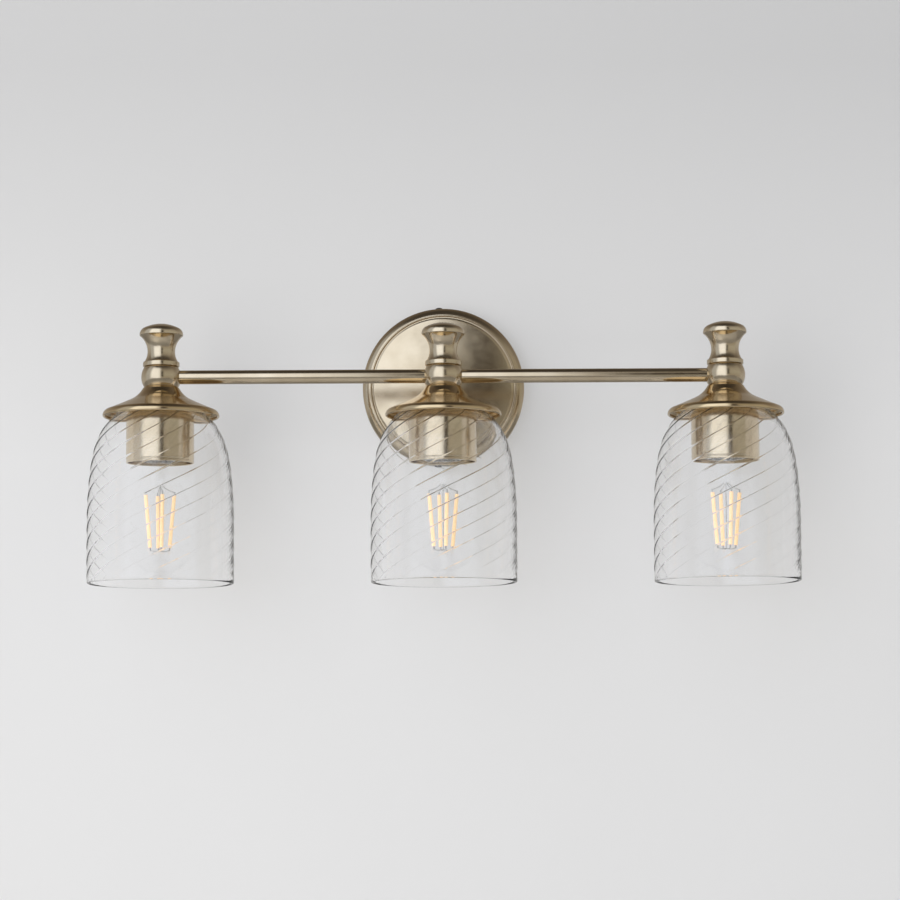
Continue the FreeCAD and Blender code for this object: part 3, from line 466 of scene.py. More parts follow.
LOOKS = {
    "turned_brass": satin_brass("turned_brass", AROUND),
    "tube_brass": satin_brass("tube_brass", ALONG_X, (0.12, 0.18), 0.02),
    "canopy_brass": brushed_face(),
    "polished_brass": polished_brass(),
    "steel": plain_metal("zinc_steel", rgb(0.66, 0.66, 0.64), rgb(0.48, 0.48, 0.47), (0.28, 0.5)),
    "nickel": plain_metal("bulb_nickel", rgb(0.78, 0.76, 0.72), rgb(0.62, 0.60, 0.56), (0.16, 0.34)),
    "yellow_brass": plain_metal("raw_brass", rgb(0.78, 0.60, 0.27), rgb(0.58, 0.42, 0.17), (0.22, 0.42)),
    "solder": plain_metal("solder", rgb(0.58, 0.58, 0.57), rgb(0.40, 0.40, 0.40), (0.35, 0.55)),
    "dark_bronze": plain_metal("dark_bronze", rgb(0.10, 0.08, 0.06), rgb(0.05, 0.04, 0.03), (0.3, 0.5)),
    "green_lacquer": matte("green_lacquer", rgb(0.03, 0.30, 0.09), rgb(0.02, 0.20, 0.06), (0.25, 0.4)),
    "shade_glass": shade_glass(),
    "stem_glass": envelope_glass("stem_glass", 0.05, 0.45),
    "envelope": envelope_glass("envelope_glass", 0.006, 0.22),
    "phosphor": filament_phosphor(),
    "porcelain": matte("porcelain", rgb(0.84, 0.82, 0.77), rgb(0.76, 0.73, 0.68), (0.12, 0.3)),
    "vitrite": matte("vitrite", rgb(0.012, 0.012, 0.014), rgb(0.03, 0.03, 0.03), (0.08, 0.22)),
    "rubber": matte("gasket_rubber", rgb(0.05, 0.05, 0.05), rgb(0.08, 0.08, 0.08), (0.6, 0.8)),
    "black_cover": matte("black_insulation", rgb(0.02, 0.02, 0.02), rgb(0.045, 0.045, 0.045), (0.3, 0.5)),
    "white_cover": matte("white_insulation", rgb(0.80, 0.80, 0.77), rgb(0.70, 0.70, 0.66), (0.3, 0.5)),
    "green_cover": matte("green_insulation", rgb(0.04, 0.35, 0.10), rgb(0.03, 0.26, 0.07), (0.3, 0.5)),
    "orange_plastic": matte("orange_plastic", rgb(0.85, 0.24, 0.03), rgb(0.72, 0.18, 0.02), (0.35, 0.5)),
}


# ---------------------------------------------------------------- canopy and arm

def make_canopy():
    """The stepped wall plate, with every edge softened as spun metal is."""
    low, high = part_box("canopy")
    rim = radius_of("canopy")
    depth = (high.y - low.y) / MM
    wall = 1.0
    side = depth - 11.2         # the upright side ends here and the bowed band starts
    shoulder = rim - 5.4        # the band ends here and the bead starts
    step = depth - 5.8
    bead_end = shoulder - 1.3
    groove = step - 0.7
    face = rim - 7.9            # the domed face
    edge = depth - 4.3
    lining = (face - 1.5, edge - wall - 0.9)
    outline = rounded([(rim - wall, 0), (rim, 0, 0.3), (rim, side)], closed=False)
    outline += bow((rim, side), (shoulder, step), -0.7, 16)
    outline += [(shoulder, step), (shoulder - 0.2, step)]
    outline += bow((shoulder - 0.2, step), (bead_end, step), -0.54, 10)
    outline += rounded([(bead_end, step - 0.2), (bead_end - 0.1, groove, 0.2), (face, groove, 0.2),
                        (face, edge - 0.6), (face - 0.7, edge)], closed=False)
    outline += bow((face - 0.7, edge), (0, depth), -0.98, 40)
    outline += [(0, depth), (0, depth - wall)]
    outline += bow((0, depth - wall), lining, 0.95, 24)
    outline += rounded([lining, (shoulder - 1.2, step - wall - 0.6, 0.6), (rim - wall, side)], closed=False)
    plate = turned("canopy_plate", outline, LOOKS["canopy_brass"], 192, along=(0, -1, 0))
    put(plate, (0, 0, 0), "fixture", "satin_brass", "canopy")


def make_side_screws():
    """Two small round-head screws with a straight slot."""
    place = middle("canopy_side_screws")
    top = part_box("canopy_side_screws")[1].z
    head = radius_of("canopy_side_screws")
    shank = 1.75
    outline = rounded([(0, -9.5), (shank - 0.25, -9.5), (shank, -9.0), (shank, -1.2), (head, -1.2, 0.2),
                       (head, -0.7, 0.6), (head * 0.6, -0.1, 0.6), (0, 0)], closed=False)
    for name, way in (("upper", 1), ("lower", -1)):
        screw = turned(f"side_screw_{name}", outline, LOOKS["dark_bronze"], 48, closed=False,
                       along=(0, 0, way))
        apply_cut(screw, slot_cutter(head))
        replaced = ["canopy_side_screws"] if name == "upper" else []
        put(screw, (place.x, place.y, way * top), "fixture", "dark_screw", *replaced)


def slot_cutter(head):
    """A block that cuts a slot 0.8 mm wide and 0.5 mm deep across a screw's head."""
    size = (head * 2.4 * MM, 0.8 * MM, 2 * 0.5 * MM)
    mesh = bpy.data.meshes.new("slot_cutter")
    work = bmesh.new()
    bmesh.ops.create_cube(work, size=1, matrix=Matrix.Diagonal((*size, 1)))
    work.to_mesh(mesh)
    work.free()
    cutter = bpy.data.objects.new("slot_cutter", mesh)
    bpy.context.scene.collection.objects.link(cutter)
    cutter.rotation_euler = (0, 0, 0.5)
    return cutter


def apply_cut(piece, cutter):
    """Cut one mesh out of another and keep the result as the piece's own mesh."""
    modifier = piece.modifiers.new("cut", "BOOLEAN")
    modifier.operation = "DIFFERENCE"
    modifier.solver = "EXACT"
    modifier.object = cutter
    bpy.context.view_layer.update()
    graph = bpy.context.evaluated_depsgraph_get()
    mesh = bpy.data.meshes.new_from_object(piece.evaluated_get(graph))
    piece.modifiers.remove(modifier)
    piece.data = mesh
    mesh.set_sharp_from_angle(angle=math.radians(40))
    bpy.data.objects.remove(cutter)


def make_arm():
    """The turned collar on the canopy and the tube that runs from it to the centre hub."""
    low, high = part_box("arm_collar")
    radius = radius_of("arm_collar")
    back = -high.y / MM
    front = -low.y / MM
    bore = 5.1
    waist = 7.5
    shoulder = (radius - 1.4, back + 3.0)
    ring = front - 2.2
    outline = rounded([(bore, back), (radius, back, 0.2), (radius, back + 2.2, 0.8), shoulder], closed=False)
    outline += bow(shoulder, (waist, ring), 2.2, 18)
    outline += rounded([(waist, ring), (waist + 0.7, ring + 0.4, 0.3), (waist + 0.7, front - 0.4, 0.4),
                        (waist, front, 0.3), (bore, front)], closed=False)
    collar = turned("arm_collar_turned", outline, LOOKS["turned_brass"], 128, along=(0, -1, 0))
    put(collar, (0, 0, 0), "fixture", "satin_brass", "arm_collar")
    make_tube("arm_tube", "arm_tube_drawn", (0, -1, 0))


def make_tube(node, name, along):
    """A drawn tube with softened ends, in the place of its CAD node."""
    low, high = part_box(node)
    size = high - low
    length = max(size) / MM
    radius = min(size) / 2 / MM
    bore = radius - 1
    outline = rounded([(bore, 0, 0.2), (radius, 0, 0.3), (radius, length, 0.3), (bore, length, 0.2)])
    tube = turned(name, outline, LOOKS["tube_brass"], 96, along=along)
    start = middle(node) - Vector(along) * length / 2 * MM
    put(tube, start, "fixture", "satin_brass", node)


# ---------------------------------------------------------------- hubs and finials

BORE = 4.98         # radius of the holes in hubs and finials


def make_hub(side, place):
    """A turned ball, cut flat above and below."""
    node = f"hub_{side}"
    ball = 14.3
    half = level(node, 1)
    flat = math.sqrt(ball ** 2 - half ** 2)
    rim = flat + 0.1
    end = half - 0.35
    outline = rounded([(BORE, -half), (flat - 0.3, -half, 0.2), (rim, -end)], closed=False)
    outline += bow((rim, -end), (rim, end), rim - ball, 30)
    outline += rounded([(rim, end), (flat - 0.3, half, 0.2), (BORE, half)], closed=False)
    hub = turned(f"{node}_ball", outline, LOOKS["turned_brass"], 128)
    put(hub, place, "fixture", "satin_brass", node)


def neck(foot, waist, waist_radius, top):
    """Points of a hollow neck: an arc up from its foot to the waist, then one out to its top."""
    steps = 14
    points = []
    for end, way in ((foot, -1), (top, 1)):
        drop = abs(end[1] - waist)
        grown = end[0] - waist_radius
        radius = (drop ** 2 + grown ** 2) / (2 * grown)
        reach = math.asin(drop / radius)
        run = [(waist_radius + radius * (1 - math.cos(reach * step / steps)),
                waist + way * radius * math.sin(reach * step / steps)) for step in range(1, steps)]
        points += run if way > 0 else list(reversed(run)) + [(waist_radius, waist)]
    return points


def make_finial(side, place):
    """The turned knob: base ring, hollow neck, lip and a low dome."""
    node = f"finial_{side}"
    foot = level(node, 0)
    top = level(node, 1) - foot
    lip = radius_of(node)
    base = lip - 2.5
    waist = 11
    stud_hole = 12.3
    neck_foot = (base - 1, 3.65)
    neck_top = (lip - 0.7, 22.2)
    dome = leaning((lip, top - 7.64), [(5, 62), (27.6, 90)], steps=16)
    outline = rounded([(BORE, 0), (base, 0, 0.5), (base, 3.1, 0.7), (base - 0.7, 3.6, 0.2), neck_foot],
                      closed=False)
    outline += neck(neck_foot, waist, lip - 5.7, neck_top)
    outline += rounded([neck_top, (lip, 22.6, 0.3), dome[0]], closed=False)[:-1]
    outline += dome[:-1]
    outline += [(0, top), (0, stud_hole), (BORE, stud_hole)]
    knob = turned(f"{node}_turned", outline, LOOKS["turned_brass"], 128)
    put(knob, place + Vector((0, 0, foot * MM)), f"{node}_knob", "satin_brass", node)


def thread_shape(pitch, depth, foot, top):
    """The radius of a round right-handed thread that fades out at both ends."""
    def shape(radius, height, angle):
        share = min(1, max(0, (height - foot) / pitch), max(0, (top - height) / pitch))
        return radius + depth * share * math.cos(TAU * height / pitch - angle)
    return shape


def make_stud(side, place):
    """The threaded stud that joins a finial to its hub, with a pitch of 1 mm."""
    node = f"finial_stud_{side}"
    foot = level(node, 0)
    top = level(node, 1)
    radius = radius_of(node) - 0.3      # half-way up the thread
    end = radius - 0.6
    outline = [(0, foot), (end, foot)]
    outline += [(radius, height) for height in rows(foot + 0.5, top - 0.5, 0.125)]
    outline += [(end, top), (0, top)]
    thread = thread_shape(1, 0.28, foot + 0.4, top - 0.4)
    stud = turned(f"{node}_threaded", outline, LOOKS["steel"], 48, closed=False,
                  shape=lambda r, z, angle: thread(r, z, angle) if r > end else r)
    put(stud, place, f"finial_{side}_travel", "zinc_steel", node)


# ---------------------------------------------------------------- caps, shades and cups

def make_cap(side, place):
    """The spun cap: a trumpet that opens down to a rolled lip."""
    node = f"shade_cap_{side}"
    top = level(node, 1)
    lip = level(node, 0) + 0.9
    radius = radius_of(node)
    wall = 1.0
    bore = 5.2
    bends = [(4.5, 68), (-350, 65), (-20, 32)]
    outside = leaning((radius, lip), bends)
    inside = leaning((radius, lip), bends, wall)
    last_across, last_up = outside[-1]
    reach = (top - 0.3 - last_up) * math.tan(math.radians(bends[-1][1]))
    crown = last_across - reach
    outline = [(bore, top), (crown - 0.5, top), (crown, top - 0.25)]
    outline += reversed(outside)
    outline += bow((radius, lip), (radius - 1.8, lip), 0.9, 12)
    outline += [(radius - 1.8, lip + 0.5), (radius - 1.3, lip + 1.3)]
    outline += inside[4:]
    outline += [(inside[-1][0] - reach * 0.6, top - wall), (bore, top - wall)]
    cap = turned(f"{node}_spun", outline, LOOKS["polished_brass"], 192)
    put(cap, place, "fixture", "polished_brass", node)


RIBS = 14
RIB_RISE = 160      # how far a rib would climb in one turn
RIB_HEIGHT = 0.6
RIB_FOOT = (2.5, 7.5)       # heights above the rim between which the ribs grow
RIB_CROWN = (22, 30)        # radii between which they grow from the crown outwards
RIB_STEP = 0.028    # half the width of a rib's steep side, as a share of their spacing
BACK_RIBS = 0.15    # share of their height that the ribs keep on the side next to the wall
RIB_COLUMNS = (-0.5, -0.36, -0.22, -0.12, -0.06, -0.028, -0.018, -0.009,
               0, 0.009, 0.018, 0.028, 0.06, 0.12, 0.22, 0.36)


def rib_profile(offset):
    """Height of a rib, from 0 to 1: a steep side at offset 0 that ends a long slope."""
    if abs(offset) < RIB_STEP:
        share = (RIB_STEP - offset) / (2 * RIB_STEP)
        return share * share * (3 - 2 * share)
    past = (-offset - RIB_STEP) % 1
    return 1 - past / (1 - 2 * RIB_STEP)


def shade_outline(node, wall):
    """The outline of the bell, and how many of its first points are on the outside."""
    foot = level(node, 0)
    top = level(node, 1)
    radius = radius_of(node)
    hole = 9
    softening = 0.4
    bends = [(330, 6), (150, 12), (60, 33), (30.5, 90)]
    start = top - leaning((radius, 0), bends)[-1][1]
    straight = rows(foot + wall / 2, start, 2.5)[:-1]
    outer = [(radius, height) for height in straight]
    outer += leaning((radius, start), bends, steps=16)
    outer += [(hole + softening, top), (hole, top - softening)]
    inner = [(radius - wall, height) for height in straight]
    inner += leaning((radius, start), bends, wall, steps=16)
    outline = outer + [(hole, top - wall + softening), (hole + softening, top - wall)]
    outline += reversed(inner)
    outline += bow((radius - wall, foot + wall / 2), (radius, foot + wall / 2), -wall / 2, 10)
    return outline, len(outer)


def make_shade(side, place):
    """The bell of glass, with thin ribs on its outside that climb to the right over its front."""
    node = f"shade_{side}"
    foot = level(node, 0)
    outline, outer_count = shade_outline(node, 2.4)
    columns = [(rib + offset, offset) for rib in range(RIBS) for offset in RIB_COLUMNS]
    vertices = []
    for number, (radius, height) in enumerate(outline):
        for column, offset in columns:
            angle = TAU * column / RIBS + TAU / RIB_RISE * (height - foot)
            r = radius
            if number < outer_count:
                fade = rising(height - foot, *RIB_FOOT) * rising(radius, *RIB_CROWN)
                front = BACK_RIBS + (1 - BACK_RIBS) * rising(-math.sin(angle), -0.6, 0.4)
                r += RIB_HEIGHT * fade * front * (rib_profile(offset) - 0.5)
            vertices.append((r * MM * math.cos(angle), r * MM * math.sin(angle), height * MM))
    steps = len(columns)
    rings = [range(start, start + steps) for start in range(0, len(vertices), steps)]
    shade = finished(f"{node}_swirled", vertices, skin(rings, True), LOOKS["shade_glass"], sharp=60)
    shade.visible_shadow = False
    put(shade, place, "fixture", "clear_glass", node)


def make_cup(side, place):
    """The drawn cup round the lamp holder, with a shallow groove above its mouth."""
    node = f"socket_cup_{side}"
    foot = level(node, 0)
    top = level(node, 1)
    radius = radius_of(node)
    wall = 1.2
    bore = 5.2
    inside = radius - wall
    groove = radius - 0.25
    shoulder = (radius - 3.5, top)
    outline = rounded([(bore, top - wall), (inside, top - wall, 2.4), (inside, foot + 0.4, 0.2),
                       (inside + 0.2, foot, 0.2), (radius - 0.1, foot, 0.3), (radius, foot + 1.4, 0.3),
                       (groove, foot + 1.8, 0.2), (groove, foot + 2.3, 0.2), (radius, foot + 2.7, 0.2),
                       (radius, top - 3.4)], closed=False)
    outline += bow((radius, top - 3.5), shoulder, -1.03, 12)
    outline += [shoulder, (bore, top)]
    cup = turned(f"{node}_drawn", outline, LOOKS["turned_brass"], 128)
    put(cup, place, "fixture", "satin_brass", node)


# ---------------------------------------------------------------- lamp holders and bulbs

E26_PITCH = 3.629
INSULATOR_RADIUS = 10.8
LAMP_NECK = 12.3        # radius of the envelope where it enters the base


def make_holder(side, place):
    """The glazed holder and, in it, the threaded screw shell."""
    node = f"lamp_holder_{side}"
    foot = level(node, 0)
    top = level(node, 1)
    radius = radius_of(node)
    mouth = 14.0
    floor = top - 5.5
    recess = top - 3.2
    outline = rounded([(5.0, recess), (5.0, top, 0.3), (radius - 3, top, 0.8), (radius, top - 3, 0.8),
                       (radius, foot + 3.2, 0.3), (radius - 0.7, foot + 2.8, 0.2), (radius - 0.7, foot, 0.6),
                       (mouth, foot, 0.6), (mouth, floor), (0, floor)], closed=False)
    outline += [(0, recess)]
    holder = turned(f"{node}_glazed", outline, LOOKS["porcelain"], 96, closed=False)
    put(holder, place, "fixture", "porcelain", node)
    shell_foot = level("screw_shells", 0)
    shell_top = level("screw_shells", 1)
    heights = rows(shell_foot, shell_top, 0.3)
    outline = [(13.62, height) for height in heights] + [(13.85, height) for height in reversed(heights)]
    shell = turned(f"screw_shell_{side}", outline, LOOKS["yellow_brass"], 72,
                   shape=thread_shape(E26_PITCH, -0.22, shell_foot, shell_top))
    replaced = ["screw_shells"] if side == "centre" else []
    put(shell, place, "fixture", "raw_brass", *replaced)


def make_bulb(side, place):
    """A clear filament lamp: envelope, end contact, insulator, screw base, stem and filaments."""
    for make in (make_envelope, make_contact, make_insulator, make_base, make_stem, make_filaments):
        make(side, place)


def envelope_outline(ball, tip, base_foot, inward):
    """From inside the base down to the tip: a hollow neck that runs into a ball."""
    radius = ball - inward
    neck_radius = LAMP_NECK - inward
    centre = tip + ball
    drop = base_foot - centre
    bend = (neck_radius ** 2 + drop ** 2 - radius ** 2) / (2 * (radius - neck_radius))
    meet = math.asin(drop / (radius + bend))
    points = [(neck_radius, base_foot + 3.5)]
    for step in range(19):
        angle = meet * step / 18
        points.append((neck_radius + bend * (1 - math.cos(angle)), base_foot - bend * math.sin(angle)))
    start = math.pi / 2 - meet
    for step in range(1, 36):
        angle = start + (math.pi - start) * step / 36
        points.append((radius * math.sin(angle), centre + radius * math.cos(angle)))
    return points + [(0, tip + inward)]


def make_envelope(side, place):
    """The blown glass, 0.7 mm thick."""
    node = f"bulb_glass_{side}"
    sizes = (radius_of(node), level(node, 0), level(f"bulb_base_{side}", 0))
    outline = envelope_outline(*sizes, 0) + list(reversed(envelope_outline(*sizes, 0.7)))
    glass = turned(f"bulb_{side}_envelope", outline, LOOKS["envelope"], 96)
    glass.visible_shadow = False
    put(glass, place, f"bulb_{side}", "bulb_glass", node)


def make_contact(side, place):
    """The drop of solder at the end of the base."""
    node = f"bulb_contact_{side}"
    foot = level(node, 0)
    top = level(node, 1)
    outline = rounded([(0, foot), (4.8, foot), (4.6, foot + 0.6, 0.4), (3.4, top - 0.3, 0.6), (2.2, top, 0.4),
                       (0, top)], closed=False)
    contact = turned(f"bulb_{side}_contact", outline, LOOKS["solder"], 48, closed=False)
    put(contact, place, f"bulb_{side}_travel", "solder", node)


def make_insulator(side, place):
    """The black glass between the base and the contact."""
    node = f"bulb_insulator_{side}"
    foot = level(node, 0)
    top = level(f"bulb_contact_{side}", 0)
    outline = rounded([(0, foot), (INSULATOR_RADIUS, foot, 0.3), (9.6, foot + 1.1, 0.8), (5.2, top, 0.5),
                       (0, top)], closed=False)
    insulator = turned(f"bulb_{side}_insulator", outline, LOOKS["vitrite"], 64, closed=False)
    put(insulator, place, f"bulb_{side}_travel", "black_insulator", node)


def make_base(side, place):
    """The hollow metal base: a rolled mouth, the E26 thread and a neck round the insulator."""
    node = f"bulb_base_{side}"
    radius = radius_of(node)
    foot = level(node, 0)
    end = level(f"bulb_insulator_{side}", 0)
    wall = 0.5
    hole = 8.0
    thread_foot = foot + 3.4
    thread_top = end - 1.4
    outer = [(radius - 0.1, foot + 0.3), (radius, foot + 1.0), (radius, foot + 2.6)]
    outer.append((radius - 0.7, foot + 3.1))
    outer += [(radius - 0.55, height) for height in rows(thread_foot, thread_top, 0.3)]
    outer += [(radius - 1.2, end - 0.5), (INSULATOR_RADIUS, end)]
    inner = [(r - wall, z) for r, z in reversed(outer[:-1])]
    outline = outer + [(hole, end), (hole, end - wall)] + inner + [(radius - wall, foot)]
    base = turned(f"bulb_{side}_screw", outline, LOOKS["nickel"], 96,
                  shape=thread_shape(E26_PITCH, 0.5, thread_foot, thread_top))
    put(base, place, f"bulb_{side}", "bulb_metal", node)


def make_stem(side, place):
    """The glass stem: a flare that closes to a tube, pinched flat where the wires pass."""
    node = f"bulb_stem_{side}"
    flare = radius_of(node)
    end = level(node, 0)
    start = level(f"bulb_base_{side}", 0) + 1
    tube = 3.4
    outline = [(0, start), (flare, start), (flare, start - 0.8)]
    outline += bow((flare, start - 0.8), (tube, start - 10), -2.6, 16)
    outline += [(tube, start - 10), (3.1, start - 13)]
    outline += [(3.3, end + 3), (2.9, end + 1), (1.6, end + 0.2), (0, end)]

    def pinch(radius, height, angle):
        return radius * (1 + rising(start - height, 9, 14) * (0.25 * math.cos(2 * angle) - 0.15))

    stem = turned(f"bulb_{side}_stem", outline, LOOKS["stem_glass"], 64, closed=False, shape=pinch)
    stem.visible_shadow = False
    put(stem, place, f"bulb_{side}", "bulb_glass", node)


def make_filaments(side, place):
    """Four amber rods that lean inwards below the stem, with their end tabs and wires."""
    axis = Vector((0, 0, 1))
    node = f"bulb_filaments_{side}"
    upper = 10.5        # distances of the rods' ends from the axis
    lower = 6.85
    rod_top = level(f"bulb_contact_{side}", 1) - 48
    rod_foot = level(node, 0) + 0.3
    stem_end = level(f"bulb_stem_{side}", 0)
    post_foot = axis * (rod_foot - 0.5)
    glow_runs = []
    wire_runs = [([axis * (stem_end + 1), post_foot], 0.3)]
    for number in range(4):
        angle = math.radians(15) + TAU * number / 4
        way = Vector((math.cos(angle), math.sin(angle), 0))
        head = way * upper + axis * rod_top
        foot = way * lower + axis * rod_foot
        along = (foot - head).normalized()
        glow_runs.append(([head + along * 2, head + along * 2.5, foot - along * 2.5, foot - along * 2], 1.3))
        wire_runs.append(([head - along * 0.5, head + along * 2.2], 0.5))
        wire_runs.append(([foot - along * 2.2, foot + along * 0.3], 0.5))
        from_stem = [way * 1.6 + axis * (stem_end + 2), way * 5 + axis * (stem_end - 0.8), head]
        from_post = [post_foot, way * 3.5 + axis * (rod_foot - 0.9), foot]
        wire_runs.append((smooth_line(from_stem), 0.22))
        wire_runs.append((smooth_line(from_post), 0.22))
    glow = rods(f"bulb_{side}_filaments", glow_runs, LOOKS["phosphor"], 14)
    put(glow, place, f"bulb_{side}", "amber_filament", node)
    wires = rods(f"bulb_{side}_leads", wire_runs, LOOKS["steel"], 8)
    put(wires, place, f"bulb_{side}", "bulb_metal")


# ---------------------------------------------------------------- pieces kept from the CAD model

def dress_cad_nodes():
    """Finishes for the inner pieces whose CAD shape is shown as it is."""
    finishes = {
        "steel": ["mounting_strap", "arm_nipple", "arm_nut", "head_nipples", "cap_spacers", "cup_lock_nuts"],
        "green_lacquer": ["ground_screw"],
        "yellow_brass": ["ground_lug", "centre_contacts"],
        "rubber": ["shade_gaskets"],
        "black_cover": ["live_wires"],
        "white_cover": ["neutral_wires"],
        "green_cover": ["ground_wire"],
        "orange_plastic": ["wire_nuts"],
    }
    for look, nodes in finishes.items():
        for node in nodes:
            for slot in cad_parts[node].material_slots:
                slot.material = LOOKS[look]


# ---------------------------------------------------------------- stage, lights and camera

def wall_paint():
    """Pale paint, a little lit from within so that its tone falls off upwards and to the right.

    The back of the wall is see-through, for views from behind."""
    made = Shader("wall_paint", Roughness=0.9)
    tone = made.noise(3, 4)
    made.feed("Base Color", made.blend(tone, rgb(0.37, 0.36, 0.35), rgb(0.39, 0.38, 0.37)))
    made.shader.inputs["Emission Color"].default_value = rgb(1, 1, 1)
    split = made.node("ShaderNodeSeparateXYZ", {0: made.place})
    glow = made.spread(split.outputs["Z"], 0.35, 0.22, -0.05, 0.25)
    left = made.spread(split.outputs["X"], 0.02, 0.0, -0.3, 0.3)
    made.feed("Emission Strength", made.calculate("ADD", glow, left))
    behind = made.node("ShaderNodeNewGeometry").outputs["Backfacing"]
    clear = made.node("ShaderNodeBsdfTransparent")
    mix = made.node("ShaderNodeMixShader", {0: behind, 1: made.shader.outputs[0], 2: clear.outputs[0]})
    made.tree.links.new(mix.outputs[0], made.tree.nodes["Material Output"].inputs["Surface"])
    return made.material


def floor_paint():
    made = Shader("floor_paint", Roughness=0.85)
    tone = made.noise(4, 3)
    made.feed("Base Color", made.blend(tone, rgb(0.70, 0.69, 0.68), rgb(0.66, 0.66, 0.65)))
    return made.material


def flat_sheet(name, corners, look):
    mesh = bpy.data.meshes.new(name)
    mesh.from_pydata(corners, [], [(0, 1, 2, 3)])
    mesh.materials.append(look)
    sheet = bpy.data.objects.new(name, mesh)
    bpy.context.scene.collection.objects.link(sheet)
    return sheet


def make_stage():
    """A pale wall just behind the light and a pale floor far below it."""
    half = 6
    floor_level = -1.3
    wall_top = 4
    wall = flat_sheet("wall", [(-half, 0, floor_level), (half, 0, floor_level),
                               (half, 0, wall_top), (-half, 0, wall_top)], wall_paint())
    wall.location.y = 0.0008
    wall.visible_glossy = False
    floor = flat_sheet("floor", [(-half, -half, floor_level), (half, -half, floor_level),
                                 (half, half, floor_level), (-half, half, floor_level)], floor_paint())


def make_cards():
    """White cards at both sides, near the wall, that only the clear glass shows: in its edges."""
    look = Shader("card", Roughness=0.9, Emission_Strength=0.6)
    look.shader.inputs["Base Color"].default_value = rgb(0, 0, 0)
    look.shader.inputs["Emission Color"].default_value = rgb(1, 1, 1)
    for name, x in (("left_card", -1.3), ("right_card", 1.3)):
        card = flat_sheet(name, [(0, -0.6, -1), (0, 0, -1), (0, 0, 1), (0, -0.6, 1)], look.material)
        card.location.x = x
        card.visible_camera = False
        card.visible_diffuse = False
        card.visible_glossy = False
        card.visible_shadow = False


def softbox(name, place, aim, size, power):
    """A soft light that isn't mirrored: the metal and the glass mirror the studio instead."""
    light = bpy.data.lights.new(name, "AREA")
    light.shape = "RECTANGLE"
    light.size, light.size_y = size
    light.energy = power
    lamp = bpy.data.objects.new(name, light)
    bpy.context.scene.collection.objects.link(lamp)
    lamp.location = place
    lamp.rotation_euler = (Vector(aim) - Vector(place)).to_track_quat("-Z", "Y").to_euler()
    lamp.visible_glossy = False
    lamp.visible_transmission = False


class Studio:
    """The surroundings that the metal and the glass mirror, built up from soft-edged patches."""

    def __init__(self):
        world = bpy.data.worlds.new("studio")
        bpy.context.scene.world = world
        world.use_nodes = True
        self.tree = world.node_tree
        self.background = self.tree.nodes["Background"]
        way = self.tree.nodes.new("ShaderNodeTexCoord").outputs["Generated"]
        split = self.tree.nodes.new("ShaderNodeSeparateXYZ")
        self.tree.links.new(way, split.inputs[0])
        self.up = self.math("ARCSINE", split.outputs["Z"])
        self.back = split.outputs["Y"]
        front = self.math("MULTIPLY", split.outputs["Y"], -1.0)
        self.side = self.math("ARCTAN2", split.outputs["X"], front)

    def math(self, operation, first, second=0.0):
        made = self.tree.nodes.new("ShaderNodeMath")
        made.operation = operation
        for socket, value in zip(made.inputs, (first, second)):
            if isinstance(value, bpy.types.NodeSocket):
                self.tree.links.new(value, socket)
            else:
                socket.default_value = value
        return made.outputs[0]

    def rise_of_tone(self, stops):
        """A tone for each height of look. A stop is (degrees up, colour), the two ends first."""
        share = self.math("ADD", self.math("DIVIDE", self.up, math.pi), 0.5)
        ramp = self.tree.nodes.new("ShaderNodeValToRGB")
        self.tree.links.new(share, ramp.inputs["Fac"])
        elements = ramp.color_ramp.elements
        for number, (degrees, colour) in enumerate(stops):
            place = degrees / 180 + 0.5
            if number < 2:
                elements[number].position = place
                elements[number].color = colour
            else:
                elements.new(place).color = colour
        return ramp.outputs["Color"]

    def smooth_share(self, value, start, end):
        """1 up to start, falling softly to 0 at end."""
        made = self.tree.nodes.new("ShaderNodeMapRange")
        made.interpolation_type = "SMOOTHSTEP"
        self.tree.links.new(value, made.inputs["Value"])
        for socket, number in (("From Min", start), ("From Max", end), ("To Min", 1), ("To Max", 0)):
            made.inputs[socket].default_value = number
        return made.outputs["Result"]

    def over(self, below, share, above):
        """What is below, covered by share of a colour or of another tone."""
        mix = self.tree.nodes.new("ShaderNodeMix")
        mix.data_type = "RGBA"
        self.tree.links.new(share, mix.inputs[0])
        self.tree.links.new(below, mix.inputs[6])
        if isinstance(above, bpy.types.NodeSocket):
            self.tree.links.new(above, mix.inputs[7])
        else:
            mix.inputs[7].default_value = above
        return mix.outputs[2]

    def patch(self, below, colour, side, up, half_side, half_up, edge):
        """A patch of colour over what is below; all its measures are in degrees."""
        shares = []
        for value, centre, half in ((self.side, side, half_side), (self.up, up, half_up)):
            away = self.math("ABSOLUTE", self.math("SUBTRACT", value, math.radians(centre)))
            shares.append(self.smooth_share(away, math.radians(half - edge), math.radians(half + edge)))
        return self.over(below, self.math("MULTIPLY", *shares), colour)


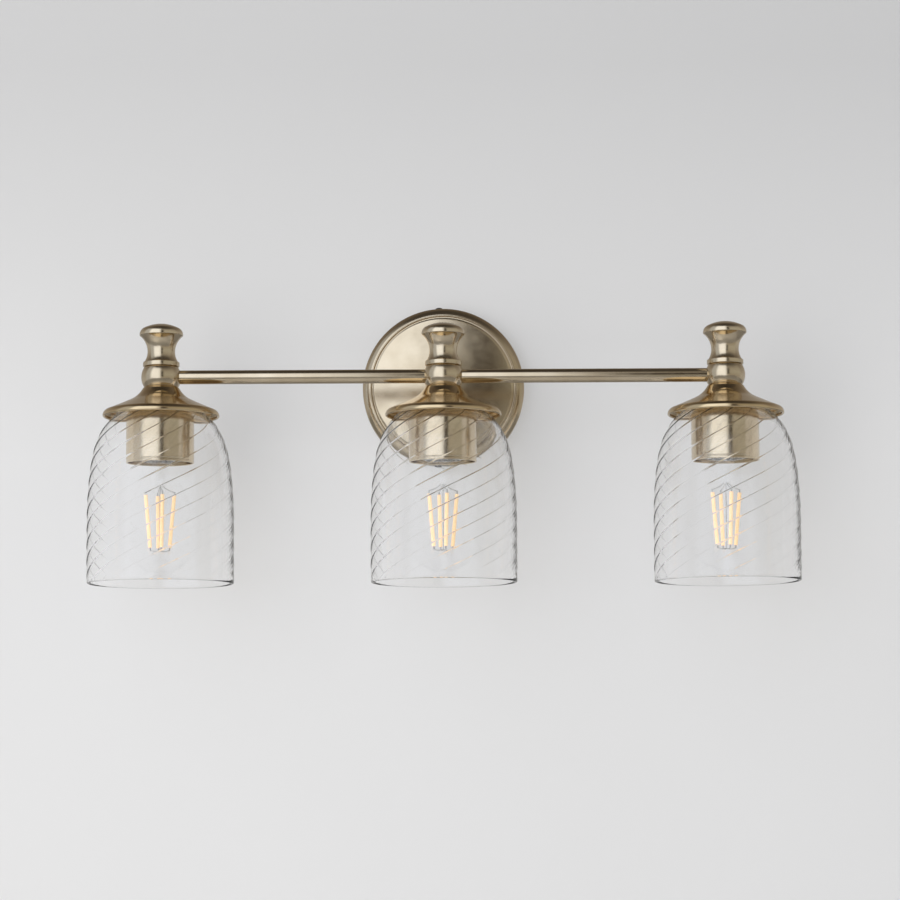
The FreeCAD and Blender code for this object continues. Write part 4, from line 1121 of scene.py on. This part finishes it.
def make_lights():
    """Soft lights from the left, the right and below, and the studio that the metal mirrors."""
    centre = (cad_box[0] + cad_box[1]) / 2
    softbox("left_window", (-1.5, -1.9, -0.1), centre, (1.2, 2.0), 24)
    softbox("right_fill", (1.9, -1.6, 0.2), centre, (0.7, 1.8), 4)
    softbox("low_fill", (-0.3, -1.4, -1.1), centre, (2.4, 1.0), 7)
    studio = Studio()
    room = studio.rise_of_tone([
        (-90, rgb(0.45, 0.42, 0.38)), (90, rgb(0.04, 0.035, 0.03)), (-41, rgb(0.42, 0.39, 0.33)),
        (-5, rgb(0.42, 0.40, 0.35)), (10, rgb(0.50, 0.50, 0.45)), (32, rgb(0.42, 0.40, 0.36)),
        (54, rgb(0.10, 0.09, 0.08)),
    ])
    wall = studio.rise_of_tone([
        (-90, rgb(0.50, 0.48, 0.45)), (90, rgb(0.04, 0.035, 0.03)), (0, rgb(0.50, 0.50, 0.49)),
        (18, rgb(0.40, 0.38, 0.35)), (38, rgb(0.24, 0.21, 0.18)), (62, rgb(0.13, 0.11, 0.09)),
    ])
    far_left = rgb(0.56, 0.60, 0.66)
    window = rgb(1.30, 1.40, 1.58)
    dark_gap = rgb(0.05, 0.04, 0.03)
    tone = studio.patch(room, far_left, side=-85, up=5, half_side=40, half_up=45, edge=12)
    tone = studio.patch(tone, window, side=-28, up=12, half_side=29, half_up=38, edge=8)
    tone = studio.patch(tone, dark_gap, side=11.5, up=15, half_side=6.5, half_up=18, edge=3)
    tone = studio.over(wall, studio.smooth_share(studio.back, -0.05, 0.12), tone)
    studio.tree.links.new(tone, studio.background.inputs["Color"])
    studio.background.inputs["Strength"].default_value = 1.0


def make_camera():
    """A long lens in front of the light and below it, looking slightly up."""
    data = bpy.data.cameras.new("camera")
    data.lens = 104
    camera = bpy.data.objects.new("camera", data)
    bpy.context.scene.collection.objects.link(camera)
    target = Vector((0.0035, -0.076, -0.0535))
    distance = 1.869
    rise = math.radians(6.8)
    look = math.radians(4.4)
    data.shift_y = math.tan(rise - look) * data.lens / data.sensor_width
    camera.location = target + Vector((0, -math.cos(rise), -math.sin(rise))) * distance
    camera.rotation_euler = (math.pi / 2 + look, math.radians(0.28), 0)
    bpy.context.scene.camera = camera


def make_head(side):
    """A hub and all that stands on it and hangs from it."""
    place = middle(f"finial_{side}")
    place.z = middle("bar_left").z
    for make in (make_hub, make_finial, make_stud, make_cap, make_shade, make_cup, make_holder, make_bulb):
        make(side, place)


make_canopy()
make_side_screws()
make_arm()
make_tube("bar_left", "bar_left_drawn", (1, 0, 0))
make_tube("bar_right", "bar_right_drawn", (1, 0, 0))
for head in HEADS:
    make_head(head)
dress_cad_nodes()
make_stage()
make_cards()
make_lights()
make_camera()

scene = bpy.context.scene
scene.view_settings.view_transform = "Standard"
scene.cycles.max_bounces = 20
scene.cycles.glossy_bounces = 12
scene.cycles.transmission_bounces = 20
scene.cycles.transparent_max_bounces = 24
